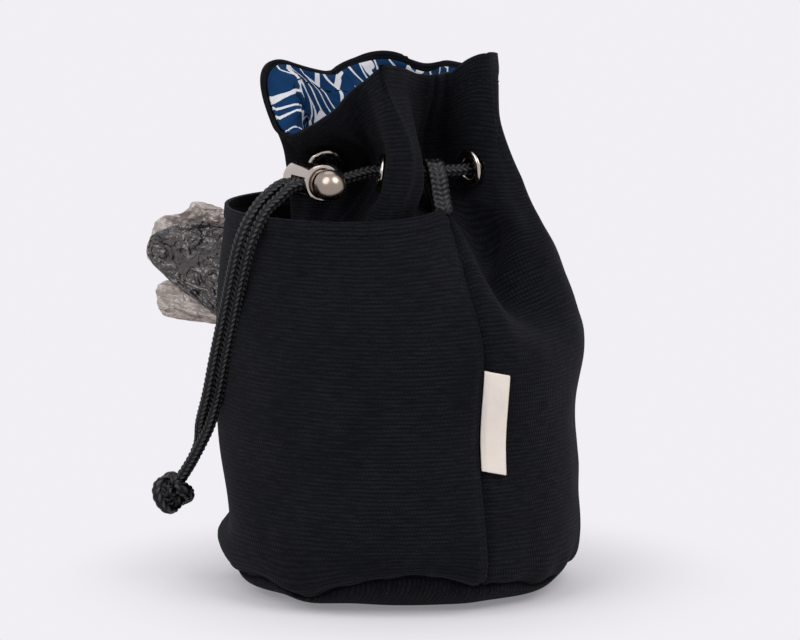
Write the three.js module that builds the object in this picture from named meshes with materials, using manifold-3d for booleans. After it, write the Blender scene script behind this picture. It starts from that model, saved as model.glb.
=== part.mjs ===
// Drawstring treat pouch: a lined canvas bag on a round base, gathered at the neck by a braided
// cord that runs through eight eyelets and a sprung cord lock, with a pocket across its front.
// Millimetres, +Z up. The origin is the centre of the base, on the table. The pocket faces -Y.
// Turns are degrees round the bag: 0 is the front, 90 the right side seam (+X), 180 the back.

import * as THREE from 'three';
import { mergeVertices } from 'three/addons/utils/BufferGeometryUtils.js';
import Module from 'manifold-3d';

// Cloth and fit
const gap = 0.3;
const canvasThickness = 1.2;
const liningThickness = 0.6;
const rimEdge = 1.4;

// Outer bag
const baseFlatRadius = 43;
const seamRadius = 50;
const seamHeight = 9;
const bulgeRadius = 54;
const bulgeHeight = 14;
const waistRadius = 52.5;
const waistHeight = 50;
const bellyRadius = 54.5;
const bellyHeight = 79;
const ridgeShoulder = 45;
const valleyShoulder = 40;
const shoulderHeight = 102;
const neckHeight = 127;
const collarHeight = 30;

// The front wall stands further in, behind the pocket
const frontWaistRadius = 32.5;
const frontBellyRadius = 33.5;
const frontShoulderStep = 13;

// Sixteen lines pull the wall into its four valleys and four lobes, two lines to a fold corner. Each
// gives its place (x, y) at the drawcord, and its turn, radius and lift over the collar at the mouth.
const foldLines = [
  { fold: 'valley', neck: [2, -8], rim: [28, 28.5, -7.6] },
  { fold: 'ridge', neck: [28.4, -19.7], rim: [49, 30.5, 1.5] },
  { fold: 'ridge', neck: [32, -9], rim: [66, 34, 4] },
  { fold: 'valley', neck: [-1, 3.5], rim: [82, 11.5, -2] },
  { fold: 'valley', neck: [4, 12], rim: [110, 15.5, -3] },
  { fold: 'ridge', neck: [32, 16], rim: [128, 34, 4.5] },
  { fold: 'ridge', neck: [25, 30], rim: [156, 31, 3] },
  { fold: 'valley', neck: [-1.5, 19], rim: [178, 25, -1] },
  { fold: 'valley', neck: [-6.5, 17.5], rim: [200, 24, -2] },
  { fold: 'ridge', neck: [-18.3, 33.2], rim: [226, 27, -2] },
  { fold: 'ridge', neck: [-28.3, 24.8], rim: [256, 26, 2.7] },
  { fold: 'valley', neck: [-13, 7], rim: [281, 29, -2.8] },
  { fold: 'valley', neck: [-13, 2], rim: [299, 26.5, -5.5] },
  { fold: 'ridge', neck: [-22.6, -26.2], rim: [322, 43, 1] },
  { fold: 'ridge', neck: [-11.4, -32.7], rim: [349, 42, -17] },
  { fold: 'valley', neck: [-4, -9], rim: [366, 35.5, -20.5] },
];

// Pocket: its foot stands out from the wall, then radius at the waist, belly, shoulder and rim, at four
// turns between the seams
const pocketStandoff = 0.8;
const pocketFoot = 2;
const pocketTop = 114;
const pocketShoulder = 99;
const pocketLines = [
  { turn: -62, radii: [55, 54.5, 52.5, 48.5] },
  { turn: -28, radii: [55, 54.8, 53.5, 52] },
  { turn: 18, radii: [54.5, 52.5, 51, 49.6] },
  { turn: 60, radii: [54.5, 52.5, 45.5, 38] },
];
const slitTurn = -50;
const slitLow = 73;
const slitHigh = 107;

// Eyelets
const eyeletHole = 6;
const eyeletFlange = 11.5;
const eyeletFlangeHeight = 1.1;
const eyeletWall = 0.5;
const eyeletLip = 0.8;
const washerThickness = 0.7;

// Drawcord and cord lock
const cordDiameter = 3;
const knotDiameter = 13;
const lockX = 10.4;
const lockY = -33.8;
const lockDrop = 2;
const barrelDiameter = 10.2;
const barrelEnd = 1;
const barrelLip = 2.4;
const barrelLipStep = 0.5;
const boreDiameter = 7.4;
const buttonTravel = 2.2;
const springLength = 5;
const springWire = 0.5;
const springTurns = 3;
const shankSolid = 1.5;
const headDiameter = 9.2;
const headLength = 6.6;

// Trim
const labelHeight = 30;
const labelWidth = 7.8;
const labelLow = 41.5;
const labelThickness = 1;
const labelStandoff = 0.8;
const loopWidth = 5;
const loopThickness = 1.3;
const loopDrop = 8.5;
const loopPlace = 0.28;
const rollDiameter = 14;
const rollCore = 5;
const rollLength = 46;
const rollLow = 52;
const rollPlace = 45.2;
const filmStart = 47.8;
const filmThickness = 1.4;
const filmReach = 29;
const filmTipHalf = 6.2;
const filmTipLift = 4.5;

// Facets
const columnsPerLine = 2;
const wallRows = [1, 2, 2, 2, 3, 2];
const pocketColumns = 4;
const pocketRows = [1, 1, 2, 2, 2];
const baseSegments = 24;
const ringSegments = 10;
const turnedSegments = 16;
const cordSides = 8;

const wasm = await Module();
wasm.setup();

const colours = {
  canvas: { color: 0x16171c, roughness: 0.9, metalness: 0 },
  lining: { color: 0x2a568c, roughness: 0.85, metalness: 0 },
  cord: { color: 0x1b1a1e, roughness: 0.75, metalness: 0 },
  nickel: { color: 0xc9c2bb, roughness: 0.15, metalness: 1 },
  steel: { color: 0x9a9a9c, roughness: 0.35, metalness: 1 },
  tape: { color: 0xeee4da, roughness: 0.9, metalness: 0 },
  film: { color: 0x6b6461, roughness: 0.35, metalness: 0 },
};

const pouch = new THREE.Group();

function addPiece(name, geometry, finish, parent = pouch) {
  const mesh = new THREE.Mesh(geometry, new THREE.MeshStandardMaterial(colours[finish]));
  mesh.name = name;
  parent.add(mesh);
  return mesh;
}

function polar(turn, radius, height) {
  const angle = THREE.MathUtils.degToRad(turn);
  return new THREE.Vector3(radius * Math.sin(angle), -radius * Math.cos(angle), height);
}

// Boolean cuts

function toSolid(geometry) {
  const bare = geometry.clone();
  bare.deleteAttribute('normal');
  bare.deleteAttribute('uv');
  const merged = mergeVertices(bare, 1e-4);
  return new wasm.Manifold(new wasm.Mesh({
    numProp: 3,
    vertProperties: new Float32Array(merged.attributes.position.array),
    triVerts: new Uint32Array(merged.index.array),
  }));
}

function cutAway(geometry, cutters) {
  let solid = toSolid(geometry);
  for (const cutter of cutters) {
    solid = solid.subtract(toSolid(cutter));
  }
  const mesh = solid.getMesh();
  const result = new THREE.BufferGeometry();
  result.setAttribute('position', new THREE.BufferAttribute(mesh.vertProperties, 3));
  result.setIndex(new THREE.BufferAttribute(mesh.triVerts, 1));
  result.computeVertexNormals();
  return result;
}

// A cloth shell: one grid on the outer face and one on the inner, closed along its edges

function clothShell(us, vs, outerAt, innerAt, isRing) {
  const columns = us.length;
  const rows = vs.length;
  const positions = [];
  const indices = [];
  for (const faceAt of [outerAt, innerAt]) {
    for (const v of vs) {
      for (const u of us) {
        positions.push(...faceAt(u, v).toArray());
      }
    }
  }
  const outer = (row, column) => row * columns + (column % columns);
  const inner = (row, column) => (rows + row) * columns + (column % columns);
  const quad = (a, b, c, d) => indices.push(a, b, c, a, c, d);
  const spans = isRing ? columns : columns - 1;
  for (let row = 0; row < rows - 1; row++) {
    for (let column = 0; column < spans; column++) {
      const next = column + 1;
      quad(outer(row, column), outer(row, next), outer(row + 1, next), outer(row + 1, column));
      quad(inner(row, column), inner(row + 1, column), inner(row + 1, next), inner(row, next));
    }
  }
  const last = rows - 1;
  for (let column = 0; column < spans; column++) {
    const next = column + 1;
    quad(inner(0, column), inner(0, next), outer(0, next), outer(0, column));
    quad(outer(last, column), outer(last, next), inner(last, next), inner(last, column));
  }
  if (!isRing) {
    for (let row = 0; row < last; row++) {
      quad(inner(row, 0), outer(row, 0), outer(row + 1, 0), inner(row + 1, 0));
      quad(outer(row, spans), inner(row, spans), inner(row + 1, spans), outer(row + 1, spans));
    }
  }
  const geometry = new THREE.BufferGeometry();
  geometry.setAttribute('position', new THREE.Float32BufferAttribute(positions, 3));
  geometry.setIndex(indices);
  geometry.computeVertexNormals();
  return geometry;
}

// Places along a surface: every span between two levels is split into its own number of rows

function spread(counts) {
  const places = [0];
  counts.forEach((count, span) => {
    for (let step = 1; step <= count; step++) {
      places.push(span + step / count);
    }
  });
  return places;
}

function offsetFrom(surface, u, v, distance) {
  const small = 1e-3;
  const along = surface(u + small, v).sub(surface(u - small, v));
  const up = surface(u, v + small).sub(surface(u, v - small));
  return surface(u, v).addScaledVector(along.cross(up).normalize(), distance);
}

function normalAt(surface, u, v) {
  return offsetFrom(surface, u, v, 1).sub(surface(u, v));
}

// Outer wall surface: u is the turn on the cut cloth in degrees, v counts levels from the base seam
// to the rim (0 seam, 1 bulge, 2 waist, 3 belly, 4 shoulder, 5 drawcord, 6 rim)

const neckLevel = 5;
const rimLevel = 6;
const rimHeight = neckHeight + collarHeight;
const lineSpacing = 360 / foldLines.length;

function frontShare(turn) {
  const fromFront = Math.abs(THREE.MathUtils.euclideanModulo(turn + 180, 360) - 180) / 90;
  return Math.max(0, 1 - fromFront ** 3);
}

// A line stands outside the curve it pulls, so a round level needs its lines this much further out
const lineSpread = 1 / Math.cos(THREE.MathUtils.degToRad(lineSpacing / 2));

const wallLines = foldLines.map(({ fold, neck, rim }, index) => {
  const turn = (index + 0.5) * lineSpacing;
  const front = frontShare(turn);
  const shoulder = fold === 'ridge' ? ridgeShoulder : valleyShoulder;
  return new THREE.CatmullRomCurve3([
    polar(turn, seamRadius * lineSpread, seamHeight),
    polar(turn, bulgeRadius * lineSpread, bulgeHeight),
    polar(turn, THREE.MathUtils.lerp(waistRadius, frontWaistRadius, front) * lineSpread, waistHeight),
    polar(turn, THREE.MathUtils.lerp(bellyRadius, frontBellyRadius, front) * lineSpread, bellyHeight),
    polar(turn, (shoulder - frontShoulderStep * front) * lineSpread, shoulderHeight),
    new THREE.Vector3(neck[0], neck[1], neckHeight),
    polar(rim[0], rim[1], rimHeight + rim[2]),
  ]);
});

const levelPoints = new Map();

function pointsAtLevel(v) {
  if (!levelPoints.has(v)) {
    const share = THREE.MathUtils.clamp(v / rimLevel, 0, 1);
    levelPoints.set(v, wallLines.map((line) => line.getPoint(share)));
  }
  return levelPoints.get(v);
}

// A closed quadratic spline round the lines: it touches the middle of every side between two lines

function gatheredWall(u, v) {
  const points = pointsAtLevel(v);
  const place = u / lineSpacing - 0.5;
  const nearest = Math.round(place);
  const past = place - nearest;
  const line = (index) => points[THREE.MathUtils.euclideanModulo(index, points.length)];
  return new THREE.Vector3()
    .addScaledVector(line(nearest - 1), (0.5 - past) ** 2 / 2)
    .addScaledVector(line(nearest), 0.75 - past ** 2)
    .addScaledVector(line(nearest + 1), (0.5 + past) ** 2 / 2);
}

// Eyelet seats: in the middle of every flank, at the drawcord's height. The cloth lies flat there.

const seatTurns = [1, 3, 5, 7, 9, 11, 13, 15].map((index) => index * lineSpacing);
const seats = seatTurns.map((turn) => ({
  centre: gatheredWall(turn, neckLevel),
  normal: normalAt(gatheredWall, turn, neckLevel),
}));

const flatReach = eyeletFlange / 2 + 0.5;
const flatFade = eyeletFlange;

function wall(u, v) {
  const point = gatheredWall(u, v);
  for (const { centre, normal } of seats) {
    const away = point.clone().sub(centre);
    const share = 1 - THREE.MathUtils.smoothstep(away.length(), flatReach, flatFade);
    point.addScaledVector(normal, -away.dot(normal) * share);
  }
  return point;
}

// Eyelet: revolved about its own Y axis, flange outside at +Y, lip rolled over the washer inside

const holeRadius = eyeletHole / 2;
const shankRadius = holeRadius + eyeletWall;
const flangeRadius = eyeletFlange / 2;
const clothStack = canvasThickness + gap + liningThickness;
const washerTop = -clothStack - gap;
const washerBottom = washerTop - washerThickness;
const lipTop = washerBottom - gap;
const lipBottom = lipTop - eyeletLip;
const flangeBottom = gap;
const flangeTop = flangeBottom + eyeletFlangeHeight;

function eyeletGeometry() {
  const profile = [
    [holeRadius, lipBottom],
    [shankRadius + eyeletLip, lipBottom],
    [shankRadius + eyeletLip, lipTop],
    [shankRadius, lipTop],
    [shankRadius, flangeBottom],
    [flangeRadius, flangeBottom],
    [(flangeRadius + shankRadius) / 2, flangeTop],
    [holeRadius, flangeBottom + eyeletFlangeHeight / 2],
    [holeRadius, lipBottom],
  ];
  return new THREE.LatheGeometry(profile.map(([r, y]) => new THREE.Vector2(r, y)), ringSegments);
}

function washerGeometry() {
  const profile = [
    [shankRadius + gap, washerBottom],
    [flangeRadius, washerBottom],
    [flangeRadius, washerTop],
    [shankRadius + gap, washerTop],
    [shankRadius + gap, washerBottom],
  ];
  return new THREE.LatheGeometry(profile.map(([r, y]) => new THREE.Vector2(r, y)), ringSegments);
}

// What an eyelet clears in the canvas, and what its shank and washer clear in the lining

function seatDisc({ centre, normal }, low, high, radius) {
  const turn = new THREE.Quaternion().setFromUnitVectors(new THREE.Vector3(0, 1, 0), normal);
  const place = new THREE.Matrix4().compose(centre, turn, new THREE.Vector3(1, 1, 1));
  const cylinder = new THREE.CylinderGeometry(radius, radius, high - low, ringSegments);
  return cylinder.translate(0, (low + high) / 2, 0).applyMatrix4(place);
}

const clearDepth = 4;

function canvasCutters(seat) {
  return [
    seatDisc(seat, -clothStack, gap, shankRadius + gap),
    seatDisc(seat, gap / 2, clearDepth, flangeRadius + gap),
  ];
}

function liningCutters(seat) {
  return [
    seatDisc(seat, -clothStack - gap, 0, shankRadius + gap),
    seatDisc(seat, -clothStack - clearDepth, -clothStack - gap / 2, flangeRadius + gap),
    seatDisc(seat, gap / 2, clearDepth, flangeRadius + gap),
  ];
}

function addEyelets() {
  seats.forEach(({ centre, normal }, index) => {
    const seat = new THREE.Group();
    seat.position.copy(centre);
    seat.quaternion.setFromUnitVectors(new THREE.Vector3(0, 1, 0), normal);
    pouch.add(seat);
    addPiece(`eyelet_${index + 1}`, eyeletGeometry(), 'nickel', seat);
    addPiece(`eyelet_washer_${index + 1}`, washerGeometry(), 'nickel', seat);
  });
}

// Sewn bag

// Columns of a half panel. Its first and last stand back from the side seam by half a gap.

function halfColumns(start) {
  const step = lineSpacing / columnsPerLine;
  const count = 180 / step;
  const sides = { 0: 1, [count]: -1 };
  return Array.from({ length: count + 1 }, (_, index) => {
    const turn = start + index * step;
    return { turn, side: sides[index] ?? 0 };
  });
}

function turnAt({ turn, side }, v) {
  const perDegree = wall(turn + 0.5, v).distanceTo(wall(turn - 0.5, v));
  return turn + side * gap / 2 / perDegree;
}

// The lining stops short of the rim, so the last span has a row of its own there

function wallLevels() {
  const lastSpan = gatheredWall(0, rimLevel).distanceTo(gatheredWall(0, neckLevel));
  const levels = spread(wallRows);
  levels.splice(levels.length - 1, 0, rimLevel - rimEdge / lastSpan);
  return levels;
}

function addWallPanels() {
  const outer = (column, v) => wall(turnAt(column, v), v);
  const inner = (column, v) => offsetFrom(wall, turnAt(column, v), v, -canvasThickness);
  const cutters = seats.flatMap(canvasCutters);
  for (const [name, start] of [['front_panel', -90], ['back_panel', 90]]) {
    const shell = clothShell(halfColumns(start), wallLevels(), outer, inner, false);
    addPiece(name, cutAway(shell, cutters), 'canvas');
  }
}

function addLiningWall() {
  const columns = [...halfColumns(-90), ...halfColumns(90)];
  const outer = (column, v) => offsetFrom(wall, turnAt(column, v), v, -canvasThickness - gap);
  const inner = (column, v) => offsetFrom(wall, turnAt(column, v), v, -clothStack);
  const shell = clothShell(columns, wallLevels().slice(0, -1), outer, inner, true);
  addPiece('lining_wall', cutAway(shell, seats.flatMap(liningCutters)), 'lining');
}

// Base: a disc with its margin turned up in a quarter of an ellipse, to meet the wall edge to edge

function dishGeometry(inset, thickness) {
  const margin = seamRadius - baseFlatRadius;
  const steps = 3;
  const top = seamHeight - gap;
  const curve = (depth) => {
    const ellipse = new THREE.EllipseCurve(baseFlatRadius, seamHeight, margin - depth, seamHeight - depth,
      -Math.PI / 2, 0);
    return ellipse.getPoints(steps).map((p) => new THREE.Vector2(p.x, Math.min(p.y, top)));
  };
  const under = curve(inset);
  const over = curve(inset + thickness).reverse();
  const profile = [new THREE.Vector2(0, inset), ...under, ...over, new THREE.Vector2(0, inset + thickness)];
  const geometry = new THREE.LatheGeometry(profile, baseSegments);
  return geometry.rotateX(Math.PI / 2);
}

function addBase() {
  addPiece('base_panel', dishGeometry(0, canvasThickness), 'canvas');
  addPiece('lining_base', dishGeometry(canvasThickness + gap, liningThickness), 'lining');
}

// Pocket surface: u counts lines from the left seam to the right, v counts levels from seam to rim.
// Its lines are held as turn, radius and height, so that it stays round between them.

const pocketLift = canvasThickness + pocketStandoff;
const pocketHeights = [seamHeight, bulgeHeight, waistHeight, bellyHeight, pocketShoulder, pocketTop];
const pocketLevels = pocketHeights.map((height) => levelAtHeight(height));

function levelAtHeight(height) {
  let low = 0;
  let high = neckLevel;
  for (let step = 0; step < 40; step++) {
    const middle = (low + high) / 2;
    if (gatheredWall(90, middle).z < height) {
      low = middle;
    } else {
      high = middle;
    }
  }
  return Math.round(high * 1e6) / 1e6;
}

const pocketEdge = (turn, side) => pocketLevels.map((level) => {
  const point = offsetFrom(wall, turnAt({ turn, side }, level), level, pocketLift);
  const turnHere = THREE.MathUtils.radToDeg(Math.atan2(point.x, -point.y));
  return new THREE.Vector3(turnHere, Math.hypot(point.x, point.y), point.z);
});
const pocketFeet = [seamRadius + pocketFoot, bulgeRadius + pocketFoot];
const pocketLinePlaces = ({ turn, radii }) => [...pocketFeet, ...radii].map((radius, level) => {
  return new THREE.Vector3(turn, radius, pocketHeights[level]);
});
const pocketColumnCurves = [
  pocketEdge(-90, 1),
  ...pocketLines.map(pocketLinePlaces),
  pocketEdge(90, -1),
].map((places) => new THREE.CatmullRomCurve3(places));

function pocket(u, v) {
  const level = THREE.MathUtils.clamp(v / (pocketHeights.length - 1), 0, 1);
  const across = new THREE.CatmullRomCurve3(pocketColumnCurves.map((curve) => curve.getPoint(level)));
  const place = across.getPoint(THREE.MathUtils.clamp(u / (pocketColumnCurves.length - 1), 0, 1));
  return polar(place.x, place.y, place.z);
}

function addPocket() {
  const us = spread(Array(pocketColumnCurves.length - 1).fill(pocketColumns));
  const vs = spread(pocketRows);
  const outer = (u, v) => pocket(u, v);
  const inner = (u, v) => offsetFrom(pocket, u, v, -canvasThickness);
  const slit = new THREE.BoxGeometry(filmThickness + 2 * gap, bellyRadius, slitHigh - slitLow);
  slit.translate(0, -bellyRadius, (slitHigh + slitLow) / 2);
  slit.rotateZ(THREE.MathUtils.degToRad(slitTurn));
  addPiece('pocket_panel', cutAway(clothShell(us, vs, outer, inner, false), [slit]), 'canvas');
}

// Trim on the right seam

function addLabel() {
  const start = 90 + THREE.MathUtils.radToDeg(2 * gap / bellyRadius);
  const turnWidth = THREE.MathUtils.radToDeg(labelWidth / bellyRadius);
  const us = [0, 0.5, 1].map((share) => start + share * turnWidth);
  const vs = [0, 0.25, 0.5, 0.75, 1].map((share) => levelAtHeight(labelLow + share * labelHeight));
  const outer = (u, v) => offsetFrom(wall, u, v, labelStandoff + labelThickness);
  const inner = (u, v) => offsetFrom(wall, u, v, labelStandoff);
  addPiece('label_tag', clothShell(us, vs, outer, inner, false), 'tape');
}

// Round section along a curve

function tubeGeometry(curve, diameter, steps, sides) {
  const section = new THREE.Shape();
  section.absarc(0, 0, diameter / 2, 0, 2 * Math.PI, false);
  return new THREE.ExtrudeGeometry(section, {
    steps,
    curveSegments: sides / 2,
    bevelEnabled: false,
    extrudePath: curve,
  });
}

// Cord lock: its own X axis runs from the closed end of the barrel to the button

const lockZ = neckHeight - lockDrop;
const cordPitch = cordDiameter + gap;
const slotWindow = 2 * cordDiameter + 3 * gap;
const slotHeight = cordDiameter + 2 * gap;
const shankStart = barrelEnd + 2 * gap + springLength;
const buttonSlotStart = shankStart + shankSolid;
const barrelSlotStart = buttonSlotStart - buttonTravel;
const barrelSlotEnd = buttonSlotStart + slotWindow;
const buttonSlotEnd = barrelSlotEnd + buttonTravel;
const barrelLength = barrelSlotEnd + barrelLip;
const headStart = barrelLength + buttonTravel + gap;
const lockStart = lockX - (buttonSlotStart + barrelSlotEnd) / 2;
const shankDiameter = boreDiameter - 2 * gap;

function turnedAlongX(profile, segments) {
  const points = profile.map(([along, radius]) => new THREE.Vector2(radius, along));
  return new THREE.LatheGeometry(points, segments).rotateZ(-Math.PI / 2);
}

function slotCutter(start, end) {
  const radius = slotHeight / 2;
  const outline = new THREE.Shape();
  outline.moveTo(start, -radius);
  outline.lineTo(end, -radius);
  outline.lineTo(end, radius);
  outline.lineTo(start, radius);
  outline.closePath();
  const depth = 2 * barrelDiameter;
  const prism = new THREE.ExtrudeGeometry(outline, { depth, bevelEnabled: false });
  return prism.translate(0, 0, -depth / 2).rotateX(Math.PI / 2);
}

function barrelGeometry() {
  const radius = barrelDiameter / 2;
  const lip = radius + barrelLipStep;
  const bore = boreDiameter / 2;
  const chamfer = barrelEnd;
  const body = turnedAlongX([
    [0, 0],
    [0, radius - chamfer],
    [chamfer * 0.35, radius - chamfer * 0.35],
    [chamfer, radius],
    [barrelLength - barrelLip + gap, radius],
    [barrelLength - barrelLip + gap + barrelLipStep, lip],
    [barrelLength - barrelLipStep, lip],
    [barrelLength, radius],
    [barrelLength, bore],
    [barrelEnd, bore],
    [barrelEnd, 0],
  ], turnedSegments);
  return cutAway(body, [slotCutter(barrelSlotStart, barrelSlotEnd)]);
}

function plungerGeometry() {
  const shank = shankDiameter / 2;
  const head = headDiameter / 2;
  const dome = new THREE.EllipseCurve(headStart + headLength - head, 0, head, head, Math.PI / 2, 0, true);
  const body = turnedAlongX([
    [shankStart, 0],
    [shankStart, shank],
    [headStart, shank],
    [headStart, head],
    ...dome.getPoints(5).map((p) => [p.x, Math.max(p.y, 0)]),
  ], turnedSegments);
  return cutAway(body, [slotCutter(buttonSlotStart, buttonSlotEnd)]);
}

class Helix extends THREE.Curve {
  getPoint(share) {
    const radius = shankDiameter / 2 - springWire;
    const angle = 2 * Math.PI * springTurns * share;
    const start = barrelEnd + gap + springWire / 2;
    const run = springLength - springWire;
    return new THREE.Vector3(start + run * share, radius * Math.cos(angle), radius * Math.sin(angle));
  }
}

function addLock() {
  const lock = new THREE.Group();
  lock.position.set(lockStart, lockY, lockZ);
  pouch.add(lock);
  addPiece('lock_barrel', barrelGeometry(), 'nickel', lock);
  addPiece('lock_plunger', plungerGeometry(), 'nickel', lock);
  addPiece('lock_spring', tubeGeometry(new Helix(), springWire, 9 * springTurns, 6), 'steel', lock);
}

// Drawcord: out of the lock, in and out through the eyelets round the neck, and back into the lock.
// It passes straight through each eyelet for a short way on both sides.

const outReach = flangeTop + cordDiameter / 2;
const inReach = -lipBottom + gap;
const leftCordX = lockX - cordPitch / 2;
const rightCordX = lockX + cordPitch / 2;

function throughEyelet({ centre, normal }, goesIn) {
  const outside = centre.clone().addScaledVector(normal, outReach);
  const inside = centre.clone().addScaledVector(normal, -inReach);
  return goesIn ? [outside, centre, inside] : [inside, centre, outside];
}

function addDrawcord() {
  const lockBack = lockY + barrelDiameter / 2;
  const round = seats.flatMap((seat, index) => throughEyelet(seat, index % 2 === 0));
  const route = new THREE.CatmullRomCurve3([
    new THREE.Vector3(rightCordX, lockY + gap / 2, lockZ),
    new THREE.Vector3(rightCordX, lockBack, lockZ),
    new THREE.Vector3(rightCordX + 0.3, lockBack + 4, lockZ + 0.6),
    ...round,
    new THREE.Vector3(1, lockBack + 5.6, lockZ + 1.4),
    new THREE.Vector3(6, lockBack + 4, lockZ + 0.8),
    new THREE.Vector3(leftCordX - 0.2, lockBack + 1, lockZ + 0.1),
    new THREE.Vector3(leftCordX, lockY + gap / 2, lockZ),
  ]);
  addPiece('drawcord', tubeGeometry(route, cordDiameter, 52, cordSides), 'cord');
}

// Tails: out of the lock, over the pocket's rim and down its left front to the knot. Each place is x, y
// and the drop below the lock.

const knotCentre = new THREE.Vector3(-25.9, -64.1, lockZ - 96.6);
const tailRoutes = {
  cord_tail_left: [
    [8.2, -43, 0.4], [8, -46.8, 2.4], [7.7, -50.8, 6.1], [7.1, -54.3, 11.4], [5.9, -56.4, 17.4],
    [3.8, -57.2, 24.2], [0.8, -57.6, 32.5], [-3, -58.1, 43], [-7, -58.6, 54], [-10.7, -59, 64.5],
    [-16.3, -58.6, 74], [-20.4, -57.3, 81], [-23.4, -58.2, 86.5], [-25.7, -59.8, 90.7],
  ],
  cord_tail_right: [
    [11.6, -42.2, 1.1], [10.9, -45.7, 4.1], [9.9, -49.3, 7.6], [8.9, -51.9, 12.6], [7.6, -53.6, 17.8],
    [5.4, -54.3, 24.2], [2.4, -54.8, 32.5], [-1.4, -55.2, 43], [-5.4, -55.7, 54], [-9.4, -56, 64.5],
    [-13.2, -57, 74], [-16.9, -58.6, 81], [-20.4, -60, 86.5], [-22.8, -61.5, 90.7],
  ],
};

function addTails() {
  for (const [name, points] of Object.entries(tailRoutes)) {
    const x = name === 'cord_tail_left' ? leftCordX : rightCordX;
    const route = new THREE.CatmullRomCurve3([
      new THREE.Vector3(x, lockY - gap / 2, lockZ),
      new THREE.Vector3(x, lockY - barrelDiameter / 2 - 1, lockZ - 0.4),
      ...points.map(([px, py, drop]) => new THREE.Vector3(px, py, lockZ - drop)),
    ]);
    addPiece(name, tubeGeometry(route, cordDiameter, 18, cordSides), 'cord');
  }
  const knot = new THREE.SphereGeometry(knotDiameter / 2, 10, 7);
  addPiece('cord_knot', knot, 'cord').position.copy(knotCentre);
}

// Keeper loop: a flat braid doubled over the drawcord at the right seam, its foot sewn into the seam

function addLoop() {
  const before = throughEyelet(seats[1], false)[2];
  const after = throughEyelet(seats[2], true)[0];
  const top = before.clone().lerp(after, loopPlace);
  const inner = cordDiameter / 2 + 2 * gap;
  const outer = inner + loopThickness;
  const ring = new THREE.Shape();
  ring.absarc(0, 0, outer, 0, Math.PI, false);
  ring.absarc(0, -loopDrop, outer, Math.PI, 2 * Math.PI, false);
  const eye = new THREE.Path();
  eye.absarc(0, 0, inner, 0, Math.PI, false);
  eye.absarc(0, -loopDrop, inner, Math.PI, 2 * Math.PI, false);
  ring.holes.push(eye);
  const strap = new THREE.ExtrudeGeometry(ring, { depth: loopWidth, bevelEnabled: false, curveSegments: 5 });
  strap.translate(0, 0, -loopWidth / 2);
  const frame = new THREE.Matrix4();
  const along = after.clone().sub(before).setZ(0).normalize();
  const down = new THREE.Vector3(0.5, 0, -1).normalize();
  const out = new THREE.Vector3().crossVectors(down.clone().negate(), along).normalize();
  frame.makeBasis(out, down.clone().negate(), along);
  frame.setPosition(top);
  addPiece('side_loop', strap.applyMatrix4(frame), 'cord');
}

// Waste bags: a small roll standing in the pocket, and a film end pulled out through the slit

function addWasteBags() {
  const rollRadius = rollDiameter / 2;
  const core = rollCore / 2;
  const roll = new THREE.LatheGeometry([
    [core, 0], [rollRadius, 0], [rollRadius, rollLength], [core, rollLength], [core, 0],
  ].map(([r, y]) => new THREE.Vector2(r, y)), ringSegments).rotateX(Math.PI / 2);
  const mesh = addPiece('waste_bag_roll', roll, 'film');
  mesh.position.copy(polar(slitTurn + 12, rollPlace, rollLow));

  const film = (u, v) => {
    const radius = filmStart + v * (filmReach + 5);
    const middle = (slitLow + slitHigh) / 2 + filmTipLift * v;
    const half = THREE.MathUtils.lerp((slitHigh - slitLow) / 2 - gap - 0.5, filmTipHalf, v ** 2);
    const outside = THREE.MathUtils.smoothstep(v, 0.3, 0.7);
    const pleat = 1.6 * outside * Math.sin(9 * u + 2 * v);
    const point = polar(slitTurn, radius, middle + half * (2 * u - 1));
    const angle = THREE.MathUtils.degToRad(slitTurn);
    return point.add(new THREE.Vector3(Math.cos(angle), Math.sin(angle), 0).multiplyScalar(pleat));
  };
  const us = Array.from({ length: 9 }, (_, index) => index / 8);
  const vs = [0, 0.25, 0.4, 0.6, 0.8, 1];
  const one = (u, v) => offsetFrom(film, u, v, filmThickness / 2);
  const other = (u, v) => offsetFrom(film, u, v, -filmThickness / 2);
  addPiece('waste_bag_end', clothShell(us, vs, one, other, false), 'film');
}

addWallPanels();
addLiningWall();
addBase();
addPocket();
addLabel();
addEyelets();
addLock();
addDrawcord();
addTails();
addLoop();
addWasteBags();

export default pouch;
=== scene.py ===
import math
import bmesh
import bpy
import numpy as np
from mathutils import Matrix, Vector, noise


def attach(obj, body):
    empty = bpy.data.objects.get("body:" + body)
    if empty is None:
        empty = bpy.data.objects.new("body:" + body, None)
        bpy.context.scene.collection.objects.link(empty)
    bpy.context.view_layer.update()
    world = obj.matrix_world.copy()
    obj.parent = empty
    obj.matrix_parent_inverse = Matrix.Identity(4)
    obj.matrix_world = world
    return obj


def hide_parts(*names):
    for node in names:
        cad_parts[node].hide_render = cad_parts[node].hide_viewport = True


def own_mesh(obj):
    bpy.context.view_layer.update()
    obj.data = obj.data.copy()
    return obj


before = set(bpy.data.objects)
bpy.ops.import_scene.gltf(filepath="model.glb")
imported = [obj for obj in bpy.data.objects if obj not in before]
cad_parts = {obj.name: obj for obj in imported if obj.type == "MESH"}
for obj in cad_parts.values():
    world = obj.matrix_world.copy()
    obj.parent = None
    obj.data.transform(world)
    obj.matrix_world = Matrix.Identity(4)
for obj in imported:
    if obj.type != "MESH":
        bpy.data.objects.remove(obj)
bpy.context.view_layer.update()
mm = 0.001
scene = bpy.context.scene
scene.view_settings.view_transform = "Standard"

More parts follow.
